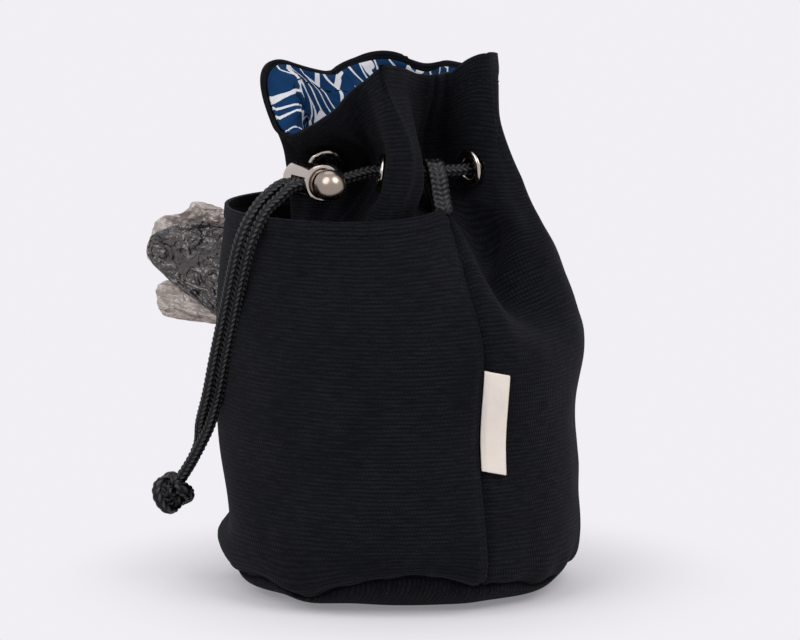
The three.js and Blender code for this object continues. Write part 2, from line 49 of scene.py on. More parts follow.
# sizes in mm, as in the part's source; turns in degrees, 0 at the front, 90 at the label seam
cloth = {"gap": 0.3, "canvas": 1.2, "lining": 0.6}
bag = {
    "seam": (50, 9), "bulge": (54, 14), "waist": (52.5, 50), "belly": (54.5, 79),
    "ridgeShoulder": 45, "valleyShoulder": 40, "shoulderHeight": 102, "neckHeight": 127, "collar": 30,
    "frontWaist": 32.5, "frontBelly": 33.5, "frontShoulderStep": 13, "baseFlat": 30,
}
foldLines = [  # valley or ridge, place at the drawcord, then turn, radius and lift at the rim
    ("valley", (2, -8), (28, 28.5, -7.6)),
    ("ridge", (28.4, -19.7), (49, 30.5, 1.5)),
    ("ridge", (32, -9), (66, 34, 4)),
    ("valley", (-1, 3.5), (82, 11.5, -2)),
    ("valley", (4, 12), (110, 15.5, -3)),
    ("ridge", (32, 16), (128, 34, 4.5)),
    ("ridge", (25, 30), (156, 31, 3)),
    ("valley", (-1.5, 19), (178, 25, -1)),
    ("valley", (-6.5, 17.5), (200, 24, -2)),
    ("ridge", (-18.3, 33.2), (226, 27, -2)),
    ("ridge", (-28.3, 24.8), (256, 26, 2.7)),
    ("valley", (-13, 7), (281, 29, -2.8)),
    ("valley", (-13, 2), (299, 26.5, -5.5)),
    ("ridge", (-22.6, -26.2), (322, 43, 1)),
    ("ridge", (-11.4, -32.7), (349, 42, -17)),
    ("valley", (-4, -9), (366, 35.5, -20.5)),
]
lineSpacing = 360 / len(foldLines)
neckLevel, rimLevel = 5, 6


def polar(turn, radius, height):
    angle = np.radians(turn)
    return np.stack(np.broadcast_arrays(radius * np.sin(angle), -radius * np.cos(angle), height), -1).astype(float)


def throughPoints(points, places):
    # smooth curve through the points; place 0 is the first point and 1 the next
    points = np.asarray(points, float)
    places = np.asarray(places, float)
    last = len(points) - 1
    padded = np.vstack([2 * points[:1] - points[1:2], points, 2 * points[-1:] - points[-2:-1]])
    span = np.clip(np.floor(places).astype(int), 0, last - 1)
    t = (places - span)[:, None]
    p0, p1, p2, p3 = (padded[span + k] for k in range(4))
    d0, d1, d2 = (np.sqrt(np.linalg.norm(b - a, axis=1, keepdims=True)) for a, b in ((p0, p1), (p1, p2), (p2, p3)))
    t1 = ((p1 - p0) / d0 - (p2 - p0) / (d0 + d1) + (p2 - p1) / d1) * d1
    t2 = ((p2 - p1) / d1 - (p3 - p1) / (d1 + d2) + (p3 - p2) / d2) * d1
    return p1 + t1 * t + (3 * (p2 - p1) - 2 * t1 - t2) * t**2 + (2 * (p1 - p2) + t1 + t2) * t**3


def between(first, second, share):
    return first + (second - first) * share


def frontShare(turn):
    away = abs((turn + 180) % 360 - 180) / 90
    return max(0, 1 - away**3)


def wallLine(index):
    fold, neck, rim = foldLines[index]
    turn = (index + 0.5) * lineSpacing
    front = frontShare(turn)
    spread = 1 / math.cos(math.radians(lineSpacing / 2))
    shoulder = bag["ridgeShoulder"] if fold == "ridge" else bag["valleyShoulder"]
    return [
        polar(turn, bag["seam"][0] * spread, bag["seam"][1]),
        polar(turn, bag["bulge"][0] * spread, bag["bulge"][1]),
        polar(turn, between(bag["waist"][0], bag["frontWaist"], front) * spread, bag["waist"][1]),
        polar(turn, between(bag["belly"][0], bag["frontBelly"], front) * spread, bag["belly"][1]),
        polar(turn, (shoulder - bag["frontShoulderStep"] * front) * spread, bag["shoulderHeight"]),
        (neck[0], neck[1], bag["neckHeight"]),
        polar(rim[0], rim[1], bag["neckHeight"] + bag["collar"] + rim[2]),
    ]


wallLines = [wallLine(index) for index in range(len(foldLines))]


def gatheredWall(turns, levels):
    # grid of points, rows up the wall and columns round it
    turns = np.asarray(turns, float)
    lines = np.stack([throughPoints(line, np.clip(levels, 0, rimLevel)) for line in wallLines], 1)
    place = turns / lineSpacing - 0.5
    nearest = np.round(place).astype(int)
    past = (place - nearest)[None, :, None]
    count = len(foldLines)
    return (lines[:, (nearest - 1) % count] * (0.5 - past)**2 / 2 + lines[:, nearest % count] * (0.75 - past**2)
            + lines[:, (nearest + 1) % count] * (0.5 + past)**2 / 2)


def unit(vectors):
    return vectors / np.linalg.norm(vectors, axis=-1, keepdims=True)


def pointAndNormal(surface, turn, level):
    small = 1e-3
    around = surface([turn - small, turn, turn + small], [level])[0]
    up = surface([turn], [level - small, level + small])[:, 0]
    return around[1], unit(np.cross(around[2] - around[0], up[1] - up[0]))


eyelet = {
    "hole": 6, "flange": 11.5, "flangeHeight": 1.1, "wall": 0.5, "lip": 0.8, "washer": 0.7,
    "cut": 4.1, "cutDepth": 6,  # radius and depth of the hole in the cloth
}
seats = [pointAndNormal(gatheredWall, index * lineSpacing, neckLevel) for index in range(1, len(foldLines), 2)]


def smoothStep(value, low, high):
    t = np.clip((value - low) / (high - low), 0, 1)
    return t * t * (3 - 2 * t)


def band(value, start, full, fade, end):
    return smoothStep(value, start, full) * (1 - smoothStep(value, fade, end))


def bell(gap, width):
    return np.exp(-(gap / width)**2)


def turnGap(turn, centre):
    return (np.asarray(turn) - centre + 180) % 360 - 180


def wall(turns, levels):
    points = gatheredWall(turns, levels)
    for centre, normal in seats:
        away = points - centre
        share = 1 - smoothStep(np.linalg.norm(away, axis=-1), eyelet["flange"] / 2 + 0.5, eyelet["flange"])
        points = points - (away @ normal * share)[..., None] * normal
    return points


def gridNormals(grid, ring):
    if ring:
        around = np.roll(grid, -1, 1) - np.roll(grid, 1, 1)
    else:
        around = np.gradient(grid, axis=1)
    return unit(np.cross(around, np.gradient(grid, axis=0)))


def clothLengths(grid):
    steps = np.linalg.norm(np.diff(grid, axis=0), axis=2).mean(1)
    return np.concatenate([[0], np.cumsum(steps)])


def runLengths(points):
    steps = np.linalg.norm(np.diff(points, axis=0), axis=1)
    return np.concatenate([[0], np.cumsum(steps)])


def clothUvs(across, up):
    return np.stack(np.broadcast_arrays(across[None, :], up[:, None]), -1) * mm


def addObject(name, data):
    item = bpy.data.objects.new(name, data)
    scene.collection.objects.link(item)
    return item


def finishPiece(name, bm, material, smooth=True):
    mesh = bpy.data.meshes.new(name)
    bm.to_mesh(mesh)
    bm.free()
    for face in mesh.polygons:
        face.use_smooth = smooth
    piece = addObject(name, mesh)
    mesh.materials.append(material)
    return piece


def clothGrid(grid, uvs, ring=False, keep=None):
    # a grid of faces laid on rows and columns of points, in mm
    rows, columns = grid.shape[:2]
    bm = bmesh.new()
    spans = columns if ring else columns - 1
    bmesh.ops.create_grid(bm, x_segments=spans, y_segments=rows - 1, size=0.5)
    place = {}
    for vert in bm.verts:
        place[vert] = (round((vert.co.y + 0.5) * (rows - 1)), round((vert.co.x + 0.5) * spans))
    layer = bm.loops.layers.uv.new("cloth")
    for face in bm.faces:
        for loop in face.loops:
            row, column = place[loop.vert]
            loop[layer].uv = uvs[row, column]
    for vert, (row, column) in place.items():
        vert.co = Vector(grid[row, column % columns]) * mm
    if keep:
        lost = [face for face in bm.faces if not keep(np.array(face.calc_center_median()) / mm)]
        bmesh.ops.delete(bm, geom=lost, context="FACES")
    bmesh.ops.remove_doubles(bm, verts=bm.verts, dist=1e-6)
    return bm


def closedTube(grid, uvs):
    bm = clothGrid(grid, uvs, True)
    bmesh.ops.holes_fill(bm, edges=[edge for edge in bm.edges if edge.is_boundary], sides=0)
    bmesh.ops.recalc_face_normals(bm, faces=bm.faces)
    return bm


def addModifier(piece, kind, **settings):
    modifier = piece.modifiers.new(kind.title(), kind)
    for key, value in settings.items():
        setattr(modifier, key, value)


def thicken(piece, thickness, offset=-1):
    addModifier(piece, "SOLIDIFY", thickness=thickness * mm, offset=offset)


# materials
class Nodes:
    # a node tree, with short ways to add what the looks here use
    def __init__(self, tree):
        self.tree = tree

    def join(self, source, target):
        self.tree.links.new(source, target)

    def add(self, kind, inputs=None, **settings):
        # inputs are constants or the outputs of other nodes, by name or number
        node = self.tree.nodes.new(kind)
        for key, value in settings.items():
            setattr(node, key, value)
        for key, value in (inputs or {}).items():
            if isinstance(value, bpy.types.NodeSocket):
                self.join(value, node.inputs[key])
            else:
                node.inputs[key].default_value = value
        return node

    def calc(self, operation, *values):
        return self.add("ShaderNodeMath", dict(enumerate(values)), operation=operation).outputs[0]

    def coords(self, kind):
        return self.add("ShaderNodeTexCoord").outputs[kind]

    def split(self, vector):
        return self.add("ShaderNodeSeparateXYZ", {0: vector}).outputs

    def stretch(self, vector, scale, turn=0.0):
        inputs = {"Vector": vector, "Scale": scale, "Rotation": (0, 0, turn)}
        return self.add("ShaderNodeMapping", inputs).outputs[0]

    def noise(self, vector, scale, detail=2.0, rough=0.5):
        inputs = {"Vector": vector, "Scale": scale, "Detail": detail, "Roughness": rough}
        return self.add("ShaderNodeTexNoise", inputs).outputs["Fac"]

    def ramp(self, value, stops):
        node = self.add("ShaderNodeValToRGB", {"Fac": value})
        elements = node.color_ramp.elements
        while len(elements) < len(stops):
            elements.new(0.5)
        for element, (place, colour) in zip(elements, stops):
            element.position = place
            element.color = (*colour, 1)
        return node.outputs["Color"]

    def mix(self, share, first, second):
        first, second = ((*value, 1) if isinstance(value, tuple) else value for value in (first, second))
        return self.add("ShaderNodeMix", {"Factor": share, 6: first, 7: second}, data_type="RGBA").outputs[2]

    def wave(self, value, pitch, phase=0.0):
        turned = self.calc("MULTIPLY_ADD", value, 2 * math.pi / pitch, phase)
        return self.calc("SINE", turned)

    def seen(self):
        # 1 for what the camera sees straight on, and what metal reflects
        path = self.add("ShaderNodeLightPath")
        shiny = self.calc("MAXIMUM", path.outputs["Is Glossy Ray"], path.outputs["Is Transmission Ray"])
        return self.calc("MAXIMUM", path.outputs["Is Camera Ray"], shiny)


class Look(Nodes):
    # a material with its one shader
    def __init__(self, name, colour, roughness, metallic=0.0):
        self.material = bpy.data.materials.new(name)
        self.material.use_nodes = True
        super().__init__(self.material.node_tree)
        self.shader = self.tree.nodes["Principled BSDF"]
        self.set("Base Color", (*colour, 1))
        self.set("Roughness", roughness)
        self.set("Metallic", metallic)

    def set(self, socket, value):
        self.shader.inputs[socket].default_value = value

    def paint(self, colour):
        self.join(colour, self.shader.inputs["Base Color"])

    def bump(self, height, strength, distance):
        node = self.add("ShaderNodeBump", {"Strength": strength, "Distance": distance, "Height": height})
        self.join(node.outputs["Normal"], self.shader.inputs["Normal"])


def srgb(red, green, blue):
    return tuple(((c / 255 + 0.055) / 1.055)**2.4 if c > 10 else c / 255 / 12.92 for c in (red, green, blue))


canvasLook = {"dark": srgb(4, 5, 7), "light": srgb(26, 27, 34), "ribPitch": 1.25 * mm, "yarnPitch": 0.95 * mm}


def makeCanvas():
    look = canvasLook
    n = Look("blackCanvas", look["dark"], 0.85)
    uv = n.coords("UV")
    across, up, _ = n.split(uv)
    drift = n.noise(uv, 130, 2)
    up = n.calc("MULTIPLY_ADD", drift, 0.9 * mm, up)
    row = n.calc("FLOOR", n.calc("DIVIDE", up, look["ribPitch"]))
    rib = n.calc("ABSOLUTE", n.calc("SINE", n.calc("MULTIPLY", up, math.pi / look["ribPitch"])))
    yarn = n.wave(across, look["yarnPitch"], n.calc("MULTIPLY", row, 2.4))
    yarn = n.calc("MULTIPLY_ADD", yarn, 0.24, 0.76)
    patch = n.noise(n.coords("Object"), 70, 4)
    slub = n.noise(n.stretch(uv, (190, 900, 1)), 1, 2, 0.6)  # short thick and thin places along the ribs
    slub = n.calc("MULTIPLY_ADD", slub, 3.0, -0.5)
    patch = n.calc("MULTIPLY", n.calc("MULTIPLY_ADD", patch, 1.3, 0.25), slub)
    weave = n.calc("MULTIPLY", n.calc("POWER", rib, 0.6), yarn)
    weave = n.calc("MULTIPLY", weave, n.calc("MAXIMUM", patch, 0.1))
    fuzz = n.noise(n.coords("Object"), 2600, 3)
    n.bump(n.calc("MULTIPLY_ADD", fuzz, 0.4, weave), 0.85, 0.4 * mm)
    # painted highlight and shade of the weave: the tone is lighter on the rib tops and darker in the gaps between them;
    # patches, slubs and fuzz vary it at random
    tone = n.calc("MULTIPLY", weave, fuzz)
    n.paint(n.mix(n.calc("MULTIPLY", tone, 1.7), look["dark"], look["light"]))
    n.set("Sheen Weight", 0.02)
    n.set("Sheen Roughness", 0.5)
    n.set("Specular IOR Level", 0.07)
    return n.material


printLook = {
    "blue": srgb(14, 56, 97), "deep": srgb(8, 37, 70), "white": srgb(205, 206, 212),
    "width": 6.2 * mm, "length": 20 * mm, "turn": math.radians(24), "gap": 0.065,
}


def makePrint():
    look = printLook
    n = Look("printedCotton", look["blue"], 0.85)
    uv = n.coords("UV")
    turned = n.stretch(uv, (1 / look["width"], 1 / look["length"], 1), look["turn"])
    bend = n.noise(uv, 60, 1)
    offset = n.add("ShaderNodeCombineXYZ", {0: n.calc("MULTIPLY_ADD", bend, 2.4, -1.2)})
    shifted = n.add("ShaderNodeVectorMath", {0: turned, 1: offset.outputs[0]}, operation="ADD")
    cells = n.add("ShaderNodeTexVoronoi", {"Scale": 1, "Vector": shifted.outputs[0]}, voronoi_dimensions="2D",
                  feature="DISTANCE_TO_EDGE")
    inCell = n.calc("GREATER_THAN", cells.outputs["Distance"], look["gap"])
    tone = n.noise(uv, 300, 3)
    blue = n.mix(tone, look["deep"], look["blue"])
    n.paint(n.mix(inCell, look["white"], blue))
    across, up, _ = n.split(uv)
    weave = n.calc("MULTIPLY", n.wave(across, 0.5 * mm), n.wave(up, 0.5 * mm))
    n.bump(weave, 0.35, 0.12 * mm)
    n.set("Specular IOR Level", 0.1)
    return n.material


cordLook = {
    "diameter": 3.0, "fullness": 1.18, "columns": 6, "pitch": 1.7, "slant": 0.95, "relief": 0.55,
    "around": 36, "step": 0.26,
}


def makeBraid():
    # the same slanted stitches as the cord's shape, with painted highlights on their tops and painted shade in between
    look = cordLook
    n = Look("blackBraid", srgb(16, 16, 18), 0.42)
    uv = n.coords("UV")
    across, along, _ = n.split(uv)
    place = n.calc("MULTIPLY", across, look["columns"] / (math.pi * look["diameter"] * mm))
    column = n.calc("FLOOR", place)
    inColumn = n.calc("SUBTRACT", n.calc("FRACT", place), 0.5)
    lean = n.calc("MULTIPLY_ADD", n.calc("FLOORED_MODULO", column, 2), -2 * look["slant"], look["slant"])
    phase = n.calc("ADD", n.calc("DIVIDE", along, look["pitch"] * mm), n.calc("MULTIPLY", lean, inColumn))
    ridge = n.calc("ABSOLUTE", n.calc("SINE", n.calc("MULTIPLY", phase, math.pi)))
    ridge = n.calc("MULTIPLY", ridge, n.calc("COSINE", n.calc("MULTIPLY", inColumn, math.pi)))
    fibre = n.noise(uv, 4200, 2)
    n.bump(fibre, 0.3, 0.08 * mm)
    tone = n.calc("MULTIPLY_ADD", fibre, 0.3, n.calc("MULTIPLY_ADD", ridge, 1.0, -0.2))
    # painted highlight on the stitch tops and painted shade in the grooves between them
    n.paint(n.ramp(tone, [(0.3, srgb(2, 2, 3)), (0.9, srgb(58, 57, 60))]))
    n.set("Specular IOR Level", 0.2)
    return n.material


def makeNickel(name, colour, roughness):
    n = Look(name, colour, roughness, 1.0)
    grain = n.noise(n.coords("Object"), 900, 4)
    n.join(n.calc("MULTIPLY_ADD", grain, 0.18, roughness - 0.08), n.shader.inputs["Roughness"])
    n.bump(n.noise(n.coords("Object"), 260, 2), 0.05, 0.1 * mm)
    return n.material


def makeSpringSteel():
    n = Look("springSteel", srgb(150, 150, 154), 0.3, 1.0)
    grain = n.noise(n.coords("Object"), 1500, 2)
    n.join(n.calc("MULTIPLY_ADD", grain, 0.25, 0.2), n.shader.inputs["Roughness"])
    return n.material


def makeTape():
    n = Look("creamTape", srgb(238, 229, 219), 0.9)
    across, up, _ = n.split(n.coords("UV"))
    weave = n.calc("MULTIPLY", n.wave(across, 0.45 * mm), n.wave(up, 0.45 * mm))
    n.bump(weave, 0.5, 0.12 * mm)
    stain = n.noise(n.coords("Object"), 140, 3)
    n.paint(n.mix(stain, srgb(230, 219, 207), srgb(243, 235, 226)))
    return n.material


def makeFilm(name, dark, light, glint, crinkle):
    # fine creases that run outwards from the slit, with painted highlights where they would catch the light
    n = Look(name, dark, 0.18)
    place = n.coords("Object")
    wander = n.add("ShaderNodeTexNoise", {"Scale": 260, "Vector": place})
    inputs = {0: wander.outputs["Color"], 1: (0.004, 0.004, 0.004), 2: place}
    bent = n.add("ShaderNodeVectorMath", inputs, operation="MULTIPLY_ADD").outputs[0]
    cells = n.add("ShaderNodeTexVoronoi", {"Scale": 330, "Vector": bent}, feature="DISTANCE_TO_EDGE")
    outwards = n.stretch(n.stretch(bent, (1, 1, 1), math.radians(143)), (0.5, 1, 1))
    creases = n.noise(outwards, 400, 3, 0.55)
    facet = n.calc("MINIMUM", cells.outputs["Distance"], 0.3)
    n.bump(n.calc("MULTIPLY_ADD", creases, 0.2, facet), crinkle, 1.6 * mm)
    tone = n.calc("MULTIPLY_ADD", n.noise(place, 160, 3), 0.4, n.calc("MULTIPLY_ADD", creases, 1.2, -0.3))
    # painted highlights: the tone runs up to the glint colour on the pale crease streaks
    n.paint(n.ramp(tone, [(0.3, dark), (0.64, light), (0.78, glint)]))
    n.set("Specular IOR Level", 0.7)
    return n.material


def makeThread():
    n = Look("blackThread", srgb(10, 10, 12), 0.75)
    n.bump(n.noise(n.coords("Object"), 4000, 1), 0.3, 0.05 * mm)
    n.set("Specular IOR Level", 0.2)
    return n.material


looks = {
    "canvas": makeCanvas(), "lining": makePrint(), "cord": makeBraid(),
    "nickel": makeNickel("polishedNickel", srgb(182, 172, 164), 0.14),
    "satin": makeNickel("satinNickel", srgb(152, 140, 130), 0.25),
    "steel": makeSpringSteel(), "tape": makeTape(), "thread": makeThread(),
    "film": makeFilm("greyFilm", srgb(30, 26, 26), srgb(74, 68, 67), srgb(190, 184, 182), 0.9),
    "paleFilm": makeFilm("paleFilm", srgb(152, 141, 134), srgb(180, 169, 162), srgb(202, 194, 188), 0.4),
}
print("materials made")


def settle(piece, slot, *nodes):
    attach(piece, "pouch")
    if nodes:
        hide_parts(*nodes)
    return piece


def clearOfSeats(point):
    for centre, normal in seats:
        away = point - centre
        depth = away @ normal
        if abs(depth) < eyelet["cutDepth"] and np.linalg.norm(away - depth * normal) < eyelet["cut"]:
            return False
    return True


# outer wall and lining
outerWall = {"columns": 256, "rows": 150, "circumference": 342, "hem": 7}
liningWall = {
    "columns": 224, "rows": 120, "low": 0.03, "rimStep": 0.07, "crease": 4.5, "puff": 7, "hem": 6, "stitchLift": -0.65,
}
seamWaves = [  # turn, lift and width of each place where the base seam wanders
    (67, 2.5, 15), (28, -5.5, 13), (-5, -3.5, 15), (90, -1.6, 8), (119, -4.2, 18), (152, -3, 14), (225, -4, 22),
    (300, -3, 20),
]
rimWaves = [  # the same for the rim
    (113, 2.2, 9), (132, 0.7, 16), (97, -1.4, 8), (195, 1.2, 14), (265, 0.9, 18), (302, 1.9, 16),
]
rimLeans = [(56, 14, (-2.5, -4.7, 0)), (94, 10, (1.6, 3, 0))]  # turn, width and sideways lean of a fold at the rim
slantFolds = [  # lift, turn and its drift, width and its growth per mm downwards, then the heights in and out
    (2.4, 92.5, 0.12, 2.6, 0.08, (52, 82, 106, 118)),
    (-14, 106, 0.3, 9, 0.14, (66, 96, 108, 121)),
]
rimHollows = [(-3.2, 97, 6, (123, 134)), (-3.8, 130, 24, (126, 146))]  # lift, turn, width, heights
puffs = [(2.3, 150, 22, 97, 18), (2.0, 60.5, 3.6, 126, 9)]  # lift, turn and width, height and width
footPinch = {"turn": -28, "width": 24, "height": 14}


def shiftRound(turns, waves):
    # how far a sewn line or an edge wanders up or down round the bag, in mm
    return sum(lift * bell(turnGap(turns, centre), width) for centre, lift, width in waves)


def shiftEdges(grid, turns, lengths):
    # the base seam and the rim wander up and down, and folds at the rim lean sideways
    fade = 1 - smoothStep(lengths, 0, 18)
    raised = shiftRound(turns, rimWaves)[None, :] * smoothStep(lengths, 128, 150)[:, None]
    dropped = fade[:, None] * shiftRound(turns, seamWaves)[None, :]
    grid[..., 2] += dropped + raised - 1.2 * lapShare(turns, lengths)
    for turn, width, lean in rimLeans:
        share = bell(turnGap(turns, turn), width)[None, :] * smoothStep(lengths, 134, 158)[:, None]
        grid = grid + share[..., None] * np.array(lean)
    return grid


def pinchIn(turn, up, depth, below, above):
    # the hollow low on the left side of the wall and the pocket
    shape = bell(up - footPinch["height"], np.where(up < footPinch["height"], below, above))
    return -depth * shape * bell(turnGap(turn, footPinch["turn"]), footPinch["width"])


noiseRadius = 54  # the noise lies on a tube of this size, so that it meets itself round the bag


def softNoise(turns, lengths, size, seed):
    angles = [math.radians(turn) for turn in turns]
    ring = [(math.cos(a) * noiseRadius / size, math.sin(a) * noiseRadius / size) for a in angles]
    return np.array([[noise.noise((x, y, s / size + seed)) for x, y in ring] for s in lengths])


def lapShare(turns, lengths):
    # at the back of the mouth the rim laps over itself and its far side sits lower
    turn = np.asarray(turns)[None, :]
    return band(turn, 196, 214, 222.4, 225) * smoothStep(lengths, 126, 148)[:, None]


def wallDetail(turns, lengths, total):
    # small folds and puckers of the canvas, in mm outwards
    turn = np.asarray(turns)[None, :]
    up = lengths[:, None]

    def wavy(times, sway, swayTimes):
        return np.sin(np.radians(turn * times + sway * np.sin(np.radians(turn * swayTimes))))

    detail = 0.4 * wavy(24, 40, 3) * band(up, 84, 116, 146, 158)  # gathers at the neck
    detail = detail + 0.5 * wavy(26, 30, 5) * bell(up - 3, 5)  # puckers at the base seam
    detail += 0.7 * wavy(11, 70, 2) * smoothStep(up, 126, 150)  # ripples of the collar
    detail += softNoise(turns, lengths, 24, 0) * 1.1 * smoothStep(up, 6, 30) + softNoise(turns, lengths, 9, 7) * 0.3
    below = np.clip(118 - up, 0, 60)
    for lift, place, drift, width, growth, heights in slantFolds:
        gap = turnGap(turn, place) - drift * below
        detail += lift * bell(gap, width + growth * below) * band(up, *heights)
    for lift, place, width, heights in rimHollows:
        detail += lift * bell(turnGap(turn, place), width) * smoothStep(up, *heights)
    for lift, place, width, height, tall in puffs:
        detail += lift * bell(turnGap(turn, place), width) * bell(up - height, tall)
    away = np.minimum(np.abs(turnGap(turn, 90)), np.abs(turnGap(turn, -90))) * outerWall["circumference"] / 360
    detail += -0.9 * bell(away, 0.7) + 0.35 * bell(away - 2.2, 1.6)  # side seams
    detail += -0.3 * bell(total - up - outerWall["hem"], 0.7) + 0.2 * smoothStep(up, total - 6.5, total - 4)  # hem
    detail += -1.3 * np.clip(1 - up / 4, 0, 1)**2 + pinchIn(turn, up, 6.4, 6, 17)
    return detail + 1.4 * lapShare(turns, lengths)


def makeOuterWall():
    turns = -90 + np.arange(outerWall["columns"]) * 360 / outerWall["columns"]
    levels = np.linspace(0, rimLevel, outerWall["rows"])
    grid = wall(turns, levels)
    lengths = clothLengths(grid)
    normals = gridNormals(grid, True)
    grid = shiftEdges(grid + normals * wallDetail(turns, lengths, lengths[-1])[..., None], turns, lengths)
    uvs = clothUvs(np.append(turns, 270) / 360 * outerWall["circumference"], lengths)
    bm = clothGrid(grid, uvs, True, clearOfSeats)
    piece = finishPiece("outerWall", bm, looks["canvas"])
    thicken(piece, cloth["canvas"])
    settle(piece, "canvas", "front_panel", "back_panel")
    return grid, lengths


def makeLining():
    columns = liningWall["columns"]
    turns = -90 + np.arange(columns) * 360 / columns
    levels = np.linspace(liningWall["low"], rimLevel - liningWall["rimStep"], liningWall["rows"])
    grid = wall(turns, levels)
    lengths = clothLengths(grid)
    total = lengths[-1]
    inset = 0.9 * bell(turnGap(turns, 50), 11)[None, :] * smoothStep(lengths, 126, 142)[:, None]
    inset = cloth["canvas"] + cloth["gap"] + inset
    creased = -liningWall["crease"] * np.abs(softNoise(turns, lengths, 9, 3))
    creased = creased * band(lengths, total - 36, total - 24, total - 9, total - 4)[:, None]
    # on the left the lining bags inwards
    puffed = -liningWall["puff"] * band(turns % 360, 289, 300, 326, 344)[None, :]
    puffed = puffed * band(lengths, total - 30, total - 13, total - 6, total - 0.5)[:, None]
    depth = wallDetail(turns, lengths, total + 100) + creased + puffed - inset
    grid = shiftEdges(grid + gridNormals(grid, True) * depth[..., None], turns, lengths)
    rim = grid[-20, list(range(columns)) + [0]]  # the print keeps its size round the mouth
    uvs = clothUvs(runLengths(rim), lengths)
    bm = clothGrid(grid, uvs, True, clearOfSeats)
    piece = finishPiece("liningWall", bm, looks["lining"])
    thicken(piece, cloth["lining"])
    settle(piece, "lining_print", "lining_wall")
    return grid, lengths


dish = {"rings": 16, "columns": 128, "lift": (0.5, 38, 18)}  # lift, turn and width where the base rises a little


def dishGrid(inset):
    seamRadius, seamHeight = bag["seam"]
    flatRadius = bag["baseFlat"]
    reach, rise = seamRadius - flatRadius - inset, seamHeight - inset
    rows = [(r, inset) for r in np.linspace(0.01, flatRadius, dish["rings"], endpoint=False)]
    for angle in np.linspace(-math.pi / 2, 0, dish["rings"]):
        rows.append((flatRadius + reach * math.cos(angle), seamHeight + rise * math.sin(angle)))
    for step, height in ((0.8, 0.8), (1.6, 2.4)):  # margin turned up inside the wall
        rows.append((seamRadius - inset - step, seamHeight + height))
    turns = np.arange(dish["columns"]) * 360 / dish["columns"]
    grid = np.stack([polar(turns, radius, height) for radius, height in rows])
    grid[..., 2] += (grid[..., 2] - inset) / rise * shiftRound(turns, seamWaves)[None, :]
    lift, turn, width = dish["lift"]
    raised = smoothStep(np.hypot(grid[..., 0], grid[..., 1]), 28, 40) * bell(turnGap(turns, turn), width)[None, :]
    grid[..., 2] += lift * raised
    return grid


def makeDish(name, inset, thickness, look, slot, node):
    grid = dishGrid(inset)
    uvs = grid[:, list(range(dish["columns"])) + [0], :2] * mm
    bm = clothGrid(grid, uvs, True)
    bmesh.ops.remove_doubles(bm, verts=bm.verts, dist=0.1 * mm)
    bmesh.ops.reverse_faces(bm, faces=bm.faces)
    piece = finishPiece(name, bm, looks[look])
    thicken(piece, thickness, 1)
    settle(piece, slot, node)


sewnWall = makeOuterWall()
sewnLining = makeLining()
makeDish("basePanel", 0, cloth["canvas"], "canvas", "canvas", "base_panel")
makeDish("liningBase", cloth["canvas"] + cloth["gap"], cloth["lining"], "lining", "lining_print", "lining_base")
print("bag sewn")

# pocket
pocketCut = {
    "standoff": 0.8, "foot": 2, "rise": 1.4, "top": 114, "shoulder": 99, "hem": 5.2, "columns": 160, "rows": 120,
    "slitTurn": -50, "slit": (73, 107), "slitWidth": 2.0,
    "lines": [  # turn, then the radius at the waist, the belly, the shoulder and the top
        (-62, [55, 54.5, 52.5, 48.5]),
        (-28, [55, 54.8, 53.5, 52]),
        (18, [54.5, 52.5, 51, 49.6]),
        (60, [54.5, 52.5, 45.5, 38]),
    ],
}


def levelAtHeight(height):
    low, high = 0.0, float(neckLevel)
    for _ in range(40):
        middle = (low + high) / 2
        if gatheredWall([90], [middle])[0, 0, 2] < height:
            low = middle
        else:
            high = middle
    return high


def pocketEdge(turn, side, levels):
    places = []
    for level in levels:
        pair = wall([turn - 0.5, turn + 0.5], [level])[0]
        clear = turn + side * cloth["gap"] / 2 / np.linalg.norm(pair[1] - pair[0])
        point, normal = pointAndNormal(wall, clear, level)
        x, y, z = point + normal * (cloth["canvas"] + pocketCut["standoff"])
        places.append((math.degrees(math.atan2(x, -y)), math.hypot(x, y), z))
    return np.array(places)


pocketHeights = [bag[place][1] for place in ("seam", "bulge", "waist", "belly")]
pocketHeights += [pocketCut["shoulder"], pocketCut["top"]]
pocketLevels = [levelAtHeight(height) for height in pocketHeights]
pocketLines = [pocketEdge(-90, 1, pocketLevels)]
pocketFeet = [bag[place][0] + pocketCut["foot"] for place in ("seam", "bulge")]
pocketLines += [
    np.array([(turn, *place) for place in zip(pocketFeet + radii, pocketHeights)]) for turn, radii in pocketCut["lines"]
]
pocketLines.append(pocketEdge(90, -1, pocketLevels))


def pocketSurface(us, vs):
    up = np.stack([throughPoints(line, vs) for line in pocketLines], 1)
    places = np.stack([throughPoints(row, us) for row in up])
    return polar(places[..., 0], places[..., 1], places[..., 2])


def outsideSlit(point):
    angle = math.radians(pocketCut["slitTurn"])
    sideways = point[0] * math.cos(angle) + point[1] * math.sin(angle)
    low, high = pocketCut["slit"]
    return not (abs(sideways) < pocketCut["slitWidth"] / 2 and low < point[2] < high and point[1] < 0 and point[0] < 0)


